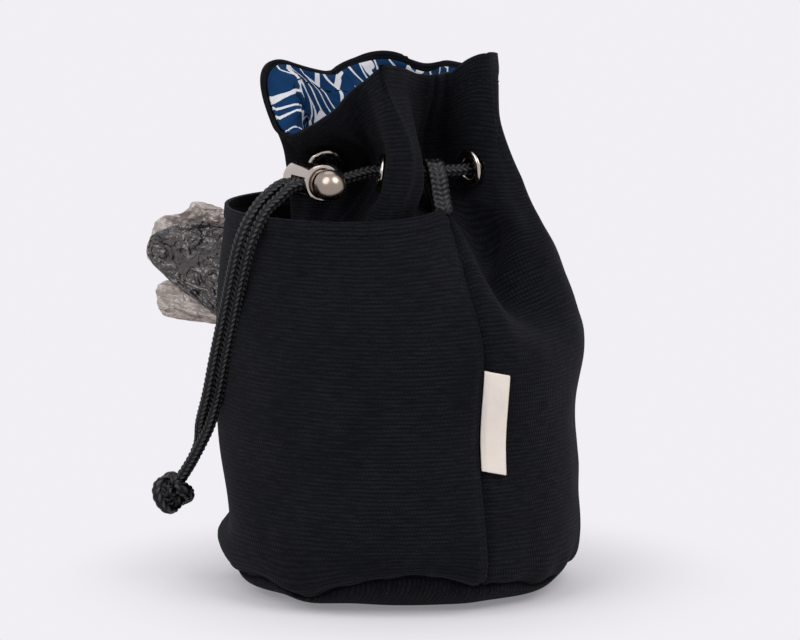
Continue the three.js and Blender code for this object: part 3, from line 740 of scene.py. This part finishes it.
def makePocket():
    us = np.linspace(0, len(pocketLines) - 1, pocketCut["columns"])
    vs = np.linspace(0, len(pocketHeights) - 1, pocketCut["rows"])
    grid = pocketSurface(us, vs)
    lengths = clothLengths(grid)
    fromRim = (lengths[-1] - lengths)[:, None]
    up = lengths[:, None]
    across = runLengths(grid[40])
    hem = 0.45 * (1 - smoothStep(fromRim, 3.6, 5)) - 0.35 * bell(fromRim - pocketCut["hem"], 0.6)
    soft = np.array([[noise.noise((a / 30, s / 30, 4.2)) for a in across] for s in lengths]) * 0.9
    edge = np.minimum(across, across[-1] - across)[None, :]
    turns = np.degrees(np.arctan2(grid[0, :, 0], -grid[0, :, 1]))
    leftFoot = bell(turnGap(turns, footPinch["turn"]), footPinch["width"])[None, :]
    pinch = -2.2 * bell(up - 3.5, 4) * leftFoot + pinchIn(turns[None, :], up, 6.0, 4, 16)
    sag = 1.6 * bell(up - 62, 26) * bell(turnGap(turns, 8), 34)[None, :]
    soft = soft * smoothStep(edge, 2, 14) * smoothStep(up, 8, 24)
    sunk = -(pocketCut["standoff"] + 0.7) * (1 - smoothStep(edge, 0, 4)) * smoothStep(fromRim, 0, 12)
    tuck = -2.6 * np.clip(1 - up / 5, 0, 1)**2 * (1 + 0.6 * leftFoot)
    grid = grid + gridNormals(grid, False) * (soft + hem + pinch + sag + sunk + tuck)[..., None]
    grid = shiftEdges(grid, turns, lengths)
    grid[..., 2] += pocketCut["rise"] * (1 - smoothStep(fromRim, 0, 20)) * smoothStep(edge, 0, 12)
    bm = clothGrid(grid, clothUvs(across, lengths), False, outsideSlit)
    piece = finishPiece("pocketPanel", bm, looks["canvas"])
    thicken(piece, cloth["canvas"])
    settle(piece, "canvas", "pocket_panel")
    return grid, lengths


sewnPocket = makePocket()
print("pocket sewn")

# drawcord, tails and knot
lock = {
    "x": 10.4, "y": -33.8, "drop": 2, "barrel": 10.2, "end": 1.0, "lip": 2.4, "lipStep": 0.5, "bore": 7.4,
    "travel": 2.2, "spring": 5.0, "wire": 0.5, "coils": 3, "shankSolid": 1.5, "head": 9.2, "headLength": 6.6,
    "slotRows": 7, "wireRows": 160, "wireColumns": 10, "split": math.radians(40),
}
lockZ = bag["neckHeight"] - lock["drop"]
cordPitch = cordLook["diameter"] + cloth["gap"]
cordX = {"left": lock["x"] - cordPitch / 2, "right": lock["x"] + cordPitch / 2}
tailPoints = {  # x, y and the drop below the lock, from its mouth to the knot
    "left": [
        (8.2, -43, 0.4), (8, -46.8, 2.4), (7.7, -50.8, 6.1), (7.1, -54.3, 11.4), (5.9, -56.4, 17.4),
        (3.8, -57.2, 24.2), (0.8, -57.6, 32.5), (-3, -58.1, 43), (-7, -58.6, 54), (-10.7, -59, 64.5),
        (-16.3, -58.6, 74), (-20.4, -57.3, 81), (-23.4, -58.2, 86.5), (-25.7, -59.8, 90.7),
    ],
    "right": [
        (11.6, -42.2, 1.1), (10.9, -45.7, 4.1), (9.9, -49.3, 7.6), (8.9, -51.9, 12.6), (7.6, -53.6, 17.8),
        (5.4, -54.3, 24.2), (2.4, -54.8, 32.5), (-1.4, -55.2, 43), (-5.4, -55.7, 54), (-9.4, -56, 64.5),
        (-13.2, -57, 74), (-16.9, -58.6, 81), (-20.4, -60, 86.5), (-22.8, -61.5, 90.7),
    ],
}
knot = {
    "centre": (-25.9, -64.1), "drop": 96.3, "diameter": 14.4, "fullness": 1.55, "axis": (0.3, -0.1, 0.9),
    "weave": 1.3, "tilt": 52,
}


def evenRoute(points, step):
    dense = throughPoints(points, np.linspace(0, len(points) - 1, 40 * len(points)))
    lengths = runLengths(dense)
    along = np.linspace(0, lengths[-1], max(8, int(lengths[-1] / step)))
    return np.stack([np.interp(along, lengths, dense[:, axis]) for axis in range(3)], 1), along


def routeFrames(route):
    tangents = unit(np.gradient(route, axis=0))
    side = np.cross(tangents[0], (0.31, 0.17, 0.93))
    sides = []
    for tangent in tangents:
        side = unit(side - tangent * (side @ tangent))
        sides.append(side)
    sides = np.array(sides)
    return sides, np.cross(tangents, sides)


def tubeGrid(route, radius, angles):
    # rings of points round a route
    first, second = routeFrames(route)
    angles = angles[None, :, None]
    return route[:, None] + radius * (np.cos(angles) * first[:, None] + np.sin(angles) * second[:, None])


def makeBraidTube(name, points, nodes, fullness=cordLook["fullness"]):
    # columns of slanted stitches that lean left and right in turn, as on a plaited cord
    look = cordLook
    route, along = evenRoute(points, look["step"])
    angles = np.arange(look["around"]) * 2 * math.pi / look["around"]
    place = angles / (2 * math.pi) * look["columns"]
    inColumn = place - np.floor(place) - 0.5
    lean = np.where(np.floor(place) % 2 == 0, 1, -1)
    phase = along[:, None] / look["pitch"] + (lean * inColumn * look["slant"])[None, :]
    ridge = np.abs(np.sin(math.pi * phase))**0.7 * np.cos(math.pi * inColumn)[None, :]**0.5
    radius = look["diameter"] / 2 * fullness + look["relief"] * (ridge - 0.81)
    radius = radius * np.sqrt(np.clip(np.minimum(along, along[-1] - along) / 0.9, 0.02, 1))[:, None]
    grid = tubeGrid(route, radius[..., None], angles)
    uvs = clothUvs(np.linspace(0, math.pi * look["diameter"], look["around"] + 1), along)
    piece = finishPiece(name, closedTube(grid, uvs), looks["cord"])
    settle(piece, "cord", *nodes)
    return piece, route, along[-1]


clothStack = cloth["canvas"] + cloth["gap"] + cloth["lining"]
lipBottom = -clothStack - cloth["gap"] - eyelet["washer"] - cloth["gap"] - eyelet["lip"]
flangeTop = cloth["gap"] + eyelet["flangeHeight"]


def throughEyelet(seat, goesIn):
    centre, normal = seat
    outside = centre + normal * (flangeTop + cordLook["diameter"] / 2)
    inside = centre + normal * (lipBottom - cloth["gap"])
    return [outside, centre, inside] if goesIn else [inside, centre, outside]


def makeDrawcord():
    back = lock["y"] + lock["barrel"] / 2
    y = lock["y"] + cloth["gap"] / 2
    points = [(cordX["right"], y, lockZ), (cordX["right"], back, lockZ), (cordX["right"] + 0.3, back + 4, lockZ + 0.6)]
    for index, seat in enumerate(seats):
        points += throughEyelet(seat, index % 2 == 0)
    points += [(1, back + 5.6, lockZ + 1.4), (6, back + 4, lockZ + 0.8), (cordX["left"] - 0.2, back + 1, lockZ + 0.1)]
    makeBraidTube("neckCord", points + [(cordX["left"], y, lockZ)], ["drawcord"])


def makeKnot():
    # an overhand knot drawn up into a ball; its strand passes over and under itself three times
    centre = np.array([*knot["centre"], lockZ - knot["drop"]])
    turns = np.linspace(0, 2 * math.pi, 60)
    weave = knot["weave"]
    ball = (knot["diameter"] - cordLook["diameter"] * knot["fullness"]) / 2 - weave + weave * np.sin(3 * turns)
    tilt = np.radians(knot["tilt"]) * np.cos(3 * turns)
    level = np.cos(tilt)
    ring = np.stack([level * np.cos(2 * turns), level * np.sin(2 * turns), np.sin(tilt)], 1) * ball[:, None]
    turn = np.array(Vector((0, 0, 1)).rotation_difference(Vector(knot["axis"])).to_matrix())
    piece, _, _ = makeBraidTube("tailKnot", centre + ring @ turn.T, ["cord_knot"], knot["fullness"])
    return piece


def makeTails():
    knotPiece = makeKnot()
    for side, points in tailPoints.items():
        x = cordX[side]
        route = [(x, lock["y"] - cloth["gap"] / 2, lockZ), (x, lock["y"] - lock["barrel"] / 2 - 1, lockZ - 0.4)]
        route += [(px, py, lockZ - drop) for px, py, drop in points]
        route.append(between(np.array(route[-1]), np.array([*knot["centre"], lockZ - knot["drop"]]), 0.45))
        piece, line, length = makeBraidTube("tail" + side.title(), route, ["cord_tail_" + side])


makeDrawcord()
makeTails()
print("cord threaded")


# eyelets and cord lock
def spinProfile(profile, steps):
    # radius and height pairs round the Z axis, in mm
    bm = bmesh.new()
    verts = [bm.verts.new((radius * mm, 0, height * mm)) for radius, height in profile]
    edges = [bm.edges.new((a, b)) for a, b in zip(verts, verts[1:] + verts[:1])]
    bmesh.ops.spin(bm, geom=verts + edges, cent=(0, 0, 0), axis=(0, 0, 1), angle=2 * math.pi, steps=steps,
                   use_merge=True)
    bmesh.ops.remove_doubles(bm, verts=bm.verts, dist=1e-6)
    bmesh.ops.recalc_face_normals(bm, faces=bm.faces)
    return bm


def standOn(bm, centre, axis):
    turn = Vector((0, 0, 1)).rotation_difference(Vector(axis)).to_matrix().to_4x4()
    bmesh.ops.transform(bm, matrix=Matrix.Translation(Vector(centre) * mm) @ turn, verts=bm.verts)
    return bm


def makeEyelets():
    hole = eyelet["hole"] / 2
    shank = hole + eyelet["wall"]
    flange = eyelet["flange"] / 2
    low = cloth["gap"]
    washerTop = -clothStack - cloth["gap"]
    lipTop = lipBottom + eyelet["lip"]
    ring = [
        (hole, lipBottom + 0.2), (hole + 0.2, lipBottom), (shank + 0.6, lipBottom),
        (shank + eyelet["lip"], lipBottom + 0.3), (shank + eyelet["lip"], lipTop - 0.2), (shank + 0.5, lipTop),
        (shank, lipTop), (shank, low), (flange - 0.1, low), (flange, low + 0.15), (flange - 0.05, low + 0.4),
        (flange - 0.35, low + 0.8), (flange - 0.9, low + 1.05), (flange - 1.5, flangeTop), (hole + 0.75, low + 0.95),
        (hole + 0.35, low + 0.7), (hole + 0.1, low + 0.3), (hole, low - 0.2),
    ]
    washer = [
        (shank + 0.3, washerTop), (flange - 0.15, washerTop), (flange, washerTop - 0.15), (flange, washerTop - 0.5),
        (flange - 0.2, washerTop - eyelet["washer"]), (shank + 0.45, washerTop - eyelet["washer"]),
    ]
    kinds = (("eyelet%d", "eyelet_%d", ring, 48), ("washer%d", "eyelet_washer_%d", washer, 40))
    for number, (centre, normal) in enumerate(seats, 1):
        for name, node, profile, steps in kinds:
            bm = standOn(spinProfile(profile, steps), centre, normal)
            settle(finishPiece(name % number, bm, looks["nickel"]), "nickel", node % number)


lockSlot = {"height": cordLook["diameter"] + 2 * cloth["gap"], "window": 2 * cordLook["diameter"] + 3 * cloth["gap"]}
shankStart = lock["end"] + 2 * cloth["gap"] + lock["spring"]
buttonSlot = shankStart + lock["shankSolid"]
barrelSlot = buttonSlot - lock["travel"]
barrelSlotEnd = buttonSlot + lockSlot["window"]
buttonSlotEnd = barrelSlotEnd + lock["travel"]
barrelLength = barrelSlotEnd + lock["lip"]
headStart = barrelLength + lock["travel"] + cloth["gap"]
lockStart = lock["x"] - (buttonSlot + barrelSlotEnd) / 2


def turnedWithSlot(profile, start, end, smallest):
    # rows of place along the lock and radius; the columns keep to the slot's two straight sides
    half = lockSlot["height"] / 2
    window = np.linspace(-1, 1, 9)
    arc = np.linspace(0, 1, 26)[1:-1]
    rows = []
    for along, radius in profile:
        edge = math.asin(half / max(radius, smallest))
        front = np.arcsin(window * half / max(radius, smallest))
        right = edge + arc * (math.pi - 2 * edge)
        turns = np.concatenate([front, right, front + math.pi, right + math.pi])
        rows.append(np.stack([np.full(len(turns), along), -radius * np.cos(turns), radius * np.sin(turns)], 1))
    grid = np.array(rows) + (lockStart, lock["y"], lockZ)
    uvs = clothUvs(np.arange(grid.shape[1] + 1), np.arange(len(rows)))

    def keep(point):
        x, y, z = point - (lockStart, lock["y"], lockZ)
        return not (start < x < end and abs(z) < half and abs(y) > 1)

    bm = clothGrid(grid, uvs, True, keep)
    bmesh.ops.remove_doubles(bm, verts=bm.verts, dist=0.05 * mm)
    return bm


def slotEdges(bm, side):
    return [edge for edge in bm.edges if edge.is_boundary and (edge.verts[0].co.y / mm - lock["y"]) * side > 1]


def slotRows(start, end, radius):
    return [(along, radius) for along in np.linspace(start, end, lock["slotRows"])]


def makeLock():
    radius, bore = lock["barrel"] / 2, lock["bore"] / 2
    lip = radius + lock["lipStep"]
    ring = barrelSlotEnd + cloth["gap"]
    length = barrelLength
    outside = [(0, 0.01), (0, radius - 1.5), (0.12, radius - 0.8), (0.35, radius - 0.35), (0.7, radius - 0.1)]
    outside += [(1.1, radius)] + slotRows(barrelSlot, barrelSlotEnd, radius)
    outside += [(ring, radius), (ring + 0.15, lip - 0.25), (ring + 0.4, lip), (length - 0.5, lip)]
    outside += [(length - 0.15, lip - 0.15), (length, radius - 0.1)]
    inside = [(length, bore + 0.3), (length - 0.15, bore + 0.05), (length - 0.4, bore)]
    inside += slotRows(barrelSlotEnd, barrelSlot, bore)
    inside += [(lock["end"] + 0.3, bore), (lock["end"], bore - 0.3), (lock["end"], 0.01)]
    bm = turnedWithSlot(outside + inside, barrelSlot, barrelSlotEnd, bore)
    for side in (-1, 1):
        bmesh.ops.bridge_loops(bm, edges=slotEdges(bm, side))
    bmesh.ops.recalc_face_normals(bm, faces=bm.faces)
    barrel = finishPiece("lockBarrel", bm, looks["nickel"])
    addModifier(barrel, "EDGE_SPLIT", split_angle=lock["split"])
    settle(barrel, "nickel", "lock_barrel")

    shank, head = bore - cloth["gap"], lock["head"] / 2
    tip = headStart + lock["headLength"]
    rows = [(shankStart, 0.01), (shankStart, shank - 0.2), (shankStart + 0.2, shank)]
    rows += slotRows(buttonSlot, buttonSlotEnd, shank)
    rows += [(headStart - 0.2, shank), (headStart, shank + 0.2), (headStart, head - 0.25), (headStart + 0.25, head)]
    rows += [(tip - head + head * math.sin(a), max(head * math.cos(a), 0.01)) for a in np.linspace(0, math.pi / 2, 12)]
    bm = turnedWithSlot(rows, buttonSlot, buttonSlotEnd, shank)
    bmesh.ops.bridge_loops(bm, edges=slotEdges(bm, -1) + slotEdges(bm, 1))
    bmesh.ops.recalc_face_normals(bm, faces=bm.faces)
    plunger = finishPiece("lockPlunger", bm, looks["satin"])
    addModifier(plunger, "EDGE_SPLIT", split_angle=lock["split"])
    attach(plunger, "button")
    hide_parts("lock_plunger")


def makeSpring():
    # wire coil in the barrel, which shortens as the plunger is pressed
    wire = lock["wire"]
    rows, columns = lock["wireRows"], lock["wireColumns"]
    share = np.linspace(0, 1, rows)
    angle = 2 * math.pi * lock["coils"] * share
    middle = lock["bore"] / 2 - cloth["gap"] - wire
    start = lockStart + lock["end"] + cloth["gap"]
    along = start + wire / 2 + (lock["spring"] - wire) * share
    route = np.stack([along, lock["y"] + middle * np.cos(angle), lockZ + middle * np.sin(angle)], 1)
    grid = tubeGrid(route, wire / 2, np.arange(columns) * 2 * math.pi / columns)
    bm = closedTube(grid, clothUvs(np.arange(columns + 1), np.arange(rows)))
    piece = settle(finishPiece("lockSpring", bm, looks["steel"]), "spring_steel", "lock_spring")
    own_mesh(piece)


makeEyelets()
makeLock()
makeSpring()
print("metalwork set")

# trim and waste bags
tag = {
    "height": 30, "width": 7.8, "low": 41.5, "thickness": 1.0, "standoff": 0.8, "sag": 1.6, "columns": 24, "rows": 60,
}
keeper = {"width": 6.0, "thickness": 1.3, "drop": 10.8, "place": 0.2, "lean": (0.5, 0, -1), "columns": 21}
wasteBag = {"roll": 14, "core": 5, "length": 46, "low": 52, "radius": 45.2, "start": 47.8, "rollTurn": 12}
film = {"rows": 90, "columns": 90, "size": 34, "thickness": 0.2, "crease": 1.9}
creaseSizes = [(1, 8, 5, 2), (0.5, 18, 14, 5), (0.2, 36, 30, 0)]  # depth, count across and outwards, shift


def makeLabel():
    start = 90 - math.degrees(0.5 / bag["belly"][0])
    wide = math.degrees(tag["width"] * 0.95 / bag["belly"][0])
    us = np.linspace(0, 1, tag["columns"])
    levels = [levelAtHeight(tag["low"] + share * tag["height"]) for share in np.linspace(0, 1, tag["rows"])]
    grid = wall(start + us * wide, levels)
    wave = 0.35 * np.sin(np.linspace(0, 5, tag["rows"]))[:, None] * us[None, :]
    rise = 0.7 + 0.3 * smoothStep(us, 0, 0.25)[None, :]
    lift = (tag["standoff"] + tag["thickness"]) * rise + wave + 0.5 * us[None, :]**2
    grid = grid + gridNormals(grid, False) * lift[..., None]
    grid[..., 2] += 0.9 - tag["sag"] * us[None, :]
    uvs = clothUvs(us * tag["width"], np.linspace(0, tag["height"], tag["rows"]))
    piece = finishPiece("labelTag", clothGrid(grid, uvs), looks["tape"])
    thicken(piece, tag["thickness"])
    addModifier(piece, "BEVEL", width=0.3 * mm, segments=2, limit_method="ANGLE")
    settle(piece, "label", "label_tag")


def makeKeeper():
    # flat braid doubled over the drawcord
    before, after = throughEyelet(seats[1], False)[2], throughEyelet(seats[2], True)[0]
    top = between(before, after, keeper["place"])
    along = after - before
    along[2] = 0
    along = unit(along)
    up = -unit(np.array(keeper["lean"], float))
    out = unit(np.cross(up, along))
    middle = cordLook["diameter"] / 2 + 2 * cloth["gap"] + keeper["thickness"] / 2
    arc = np.linspace(0, math.pi, 24)
    over = [(middle * math.cos(a), middle * math.sin(a)) for a in arc]
    under = [(-middle * math.cos(a), -keeper["drop"] - middle * math.sin(a)) for a in arc]
    sides = np.linspace(0, 1, 26)[1:-1]
    down = [(-middle, -keeper["drop"] * share) for share in sides]
    rise = [(middle, -keeper["drop"] * (1 - share)) for share in sides]
    ring = np.array(over + down + under + rise)
    ring[:, 0] *= 1 - 0.6 * smoothStep(-ring[:, 1], 1, keeper["drop"])  # its two sides meet below the cord
    ahead, behind = np.roll(ring, -1, 0), np.roll(ring, 1, 0)
    tangent = unit(ahead - behind)
    normal = np.stack([tangent[:, 1], -tangent[:, 0]], 1)
    run = runLengths(ring)
    columns = keeper["columns"]
    across = np.concatenate([np.linspace(-1, 1, columns), np.linspace(1, -1, columns)])
    face = np.concatenate([np.ones(columns), -np.ones(columns)])
    thick = keeper["thickness"] / 2 * (1 - np.abs(across)**6) ** 0.5
    rib = 0.16 * np.sin(run[:, None] * 2 * math.pi / 1.5 + np.abs(across)[None, :] * 4.5) * (np.abs(across) < 0.98)
    depth = face * thick + face * rib
    flat = ring[:, None] + normal[:, None] * depth[..., None]
    grid = top + flat[..., :1] * out + flat[..., 1:] * up + (across * keeper["width"] / 2)[None, :, None] * along
    grid = np.concatenate([grid, grid[:1]])
    uvs = clothUvs(np.linspace(0, 11.4, 2 * columns + 1), np.append(run, run[-1] + 0.4))
    bm = clothGrid(grid, uvs, True)
    bmesh.ops.recalc_face_normals(bm, faces=bm.faces)
    settle(finishPiece("keeperLoop", bm, looks["cord"]), "cord", "side_loop")


def makeWasteRoll():
    outer, core, length = wasteBag["roll"] / 2, wasteBag["core"] / 2, wasteBag["length"]
    profile = [(core, 0), (outer, 0), (outer, length)]
    turns = np.linspace(outer, core, 15)
    for first, second in zip(turns[:-1], turns[1:]):
        profile += [(between(first, second, 0.25), length + 0.1), (between(first, second, 0.75), length - 0.5)]
    profile.append((core, length - 0.5))
    foot = polar(pocketCut["slitTurn"] + wasteBag["rollTurn"], wasteBag["radius"], wasteBag["low"])
    bm = standOn(spinProfile(profile, 40), foot, (0, 0, 1))
    settle(finishPiece("wasteRoll", bm, looks["film"]), "waste_film", "waste_bag_roll")


filmFolds = {  # the tip is radius and height of the edge, from its low to its high corner
    "wasteFilm": {
        "look": "film", "ahead": 0.6, "seed": 0.4, "slit": (74, 106),
        "tip": [(62, 79), (77, 88.5), (82.5, 95), (80.5, 101.5), (73, 105), (65, 107), (60, 104.5)],
    },
    "wasteFilmBack": {
        "look": "paleFilm", "ahead": -4.2, "seed": 5.1, "slit": (80, 104),
        "tip": [(80, 90), (85, 94.5), (85, 101.5), (81, 106), (73, 108.5), (68.5, 112), (61, 110.5)],
    },
    "wasteFilmFlap": {
        "look": "paleFilm", "ahead": -1.6, "seed": 3.7, "slit": (74.2, 83),
        "tip": [(62, 75), (78, 77), (81.5, 80.5), (81, 85.5), (75, 88), (66, 86)],
    },
}


def filmGrid(fold):
    # film that comes out of the slit, with ragged edges, soft folds and sharp creases
    rows, columns, seed = film["rows"], film["columns"], fold["seed"]
    angle = math.radians(pocketCut["slitTurn"])
    sideways = np.array([math.cos(angle), math.sin(angle), 0])
    edge = np.array([(radius, height, 0) for radius, height in fold["tip"]])
    tip = throughPoints(edge, np.linspace(0, len(edge) - 1, columns))
    grid = np.zeros((rows, columns, 3))
    for row, v in enumerate(np.linspace(0, 1, rows)):
        outside = float(smoothStep(v, 0.12, 0.4))
        for column, u in enumerate(np.linspace(0, 1, columns)):
            start = wasteBag["start"], between(*fold["slit"], u)
            radius, height = (between(a, b, v**e) for a, b, e in zip(start, tip[column], (1, 1.25)))
            ragged = (0.9 * noise.noise((u * 5, v * 3, seed)) + 0.4 * noise.noise((u * 17, v * 5, seed))) * v
            soft = 1.1 * math.sin(8 * u + 3 * v + seed) + 1.5 * noise.noise((u * 3, v * 3, seed))
            crease = sum(depth * abs(noise.noise((u * wide, v * far, seed + shift)))
                         for depth, wide, far, shift in creaseSizes)
            spread = soft + film["crease"] * (crease - 0.4) + fold["ahead"]
            place = polar(pocketCut["slitTurn"], radius + ragged, height + ragged * 0.6)
            grid[row, column] = place + sideways * outside * spread
    return clothGrid(grid, clothUvs(np.linspace(0, film["size"], columns), np.linspace(0, film["size"], rows)))


def makeWasteFilm():
    pieces = {}
    for name, fold in filmFolds.items():
        pieces[name] = finishPiece(name, filmGrid(fold), looks[fold["look"]])
        thicken(pieces[name], film["thickness"], 0)
    settle(pieces["wasteFilm"], "waste_film", "waste_bag_end")
    settle(pieces["wasteFilmBack"], "waste_film")
    settle(pieces["wasteFilmFlap"], "waste_film")


makeLabel()
makeKeeper()
makeWasteRoll()
makeWasteFilm()
print("trim sewn on")

# topstitching
stitch = {"length": 2.3, "pitch": 3.0, "width": 0.5, "height": 0.3}


def sewLine(name, points, normals):
    steps = runLengths(points)
    bm = bmesh.new()
    for place in np.arange(stitch["pitch"] / 2, steps[-1], stitch["pitch"]):
        spot, ahead = (np.array([np.interp(p, steps, points[:, k]) for k in range(3)]) for p in (place, place + 0.2))
        normal = unit(np.array([np.interp(place, steps, normals[:, k]) for k in range(3)]))
        along = unit(ahead - spot + 1e-9)
        side = unit(np.cross(normal, along))
        axes = along * stitch["length"] / 2, side * stitch["width"] / 2, normal * stitch["height"]
        turn = Matrix(axes).transposed().to_4x4()
        bmesh.ops.create_icosphere(bm, subdivisions=1, radius=mm, matrix=Matrix.Translation(Vector(spot) * mm) @ turn)
    piece = finishPiece(name, bm, looks["thread"])
    settle(piece, "cord")


def sewBelowEdge(name, sewn, down, ring, lift):
    # one row of stitches that follows the finished cloth, this far below its top edge
    grid, lengths = sewn
    row = int(np.argmin(np.abs(lengths[-1] - lengths - down)))
    normals = gridNormals(grid, ring)[row]
    points = grid[row] + normals * lift
    if ring:
        points, normals = (np.concatenate([rows, rows[:1]]) for rows in (points, normals))
    else:
        points, normals = points[4:-4], normals[4:-4]
    sewLine(name, points, normals * (-1 if lift < 0 else 1))


sewBelowEdge("pocketHemStitches", sewnPocket, pocketCut["hem"], False, 0)
sewBelowEdge("collarStitches", sewnWall, outerWall["hem"], True, 0)
sewBelowEdge("liningStitches", sewnLining, liningWall["hem"], True, liningWall["stitchLift"])
print("topstitched")

# camera and stage
view = {"azimuth": 62, "distance": 1.31, "height": 0.288, "aim": 0.080, "focal": 199}
lamps = [  # name, azimuth, elevation, distance, size and power
    ("keyLight", 106, 47, 1.6, 1.1, 11),
    ("fillLight", 16, 43, 1.6, 1.3, 12),
    ("backLight", 250, 60, 1.8, 1.4, 4),
]
lampAim = 0.08


def aimAt(item, height):
    item.rotation_euler = (Vector((0, 0, height)) - item.location).to_track_quat("-Z", "Y").to_euler()


def makeCamera():
    data = bpy.data.cameras.new("camera")
    data.lens = view["focal"]
    data.sensor_width = 36
    camera = addObject("camera", data)
    angle = math.radians(view["azimuth"])
    camera.location = (view["distance"] * math.sin(angle), -view["distance"] * math.cos(angle), view["height"])
    aimAt(camera, view["aim"])
    scene.camera = camera


def makeFloor():
    # lit near the pouch, plain white backdrop further off
    bm = bmesh.new()
    bmesh.ops.create_circle(bm, cap_ends=True, segments=64, radius=6)
    n = Look("paleFloor", (0.81, 0.79, 0.815), 0.9)
    n.set("Specular IOR Level", 0.1)
    away = n.add("ShaderNodeVectorMath", {0: n.coords("Object")}, operation="LENGTH")
    inputs = {"Value": away.outputs["Value"], "From Min": 0.045, "From Max": 0.115, "To Min": 0.24}
    far = n.add("ShaderNodeMapRange", inputs, interpolation_type="SMOOTHSTEP")
    white = n.add("ShaderNodeEmission", {"Color": (*srgb(241, 239, 244), 1)})
    share = n.calc("MULTIPLY", far.outputs[0], n.seen())
    blend = n.add("ShaderNodeMixShader", {0: share, 1: n.shader.outputs[0], 2: white.outputs[0]})
    n.join(blend.outputs[0], n.tree.nodes["Material Output"].inputs["Surface"])
    floor = finishPiece("floor", bm, n.material, False)


def addLight(name, azimuth, elevation, distance, size, power):
    data = bpy.data.lights.new(name, "AREA")
    data.shape = "DISK"
    data.size = size
    data.energy = power
    light = addObject(name, data)
    a, e = math.radians(azimuth), math.radians(elevation)
    light.location = Vector((math.sin(a) * math.cos(e), -math.cos(a) * math.cos(e), math.sin(e))) * distance
    aimAt(light, lampAim)


def makeWorld():
    world = bpy.data.worlds.new("studio")
    scene.world = world
    world.use_nodes = True
    n = Nodes(world.node_tree)
    background = n.tree.nodes["Background"]
    background.inputs["Color"].default_value = (0.925, 0.908, 0.953, 1)
    n.join(n.calc("MULTIPLY_ADD", n.seen(), 0.55, 0.4), background.inputs["Strength"])


makeCamera()
makeFloor()
makeWorld()
for lamp in lamps:
    addLight(*lamp)
print("stage lit")
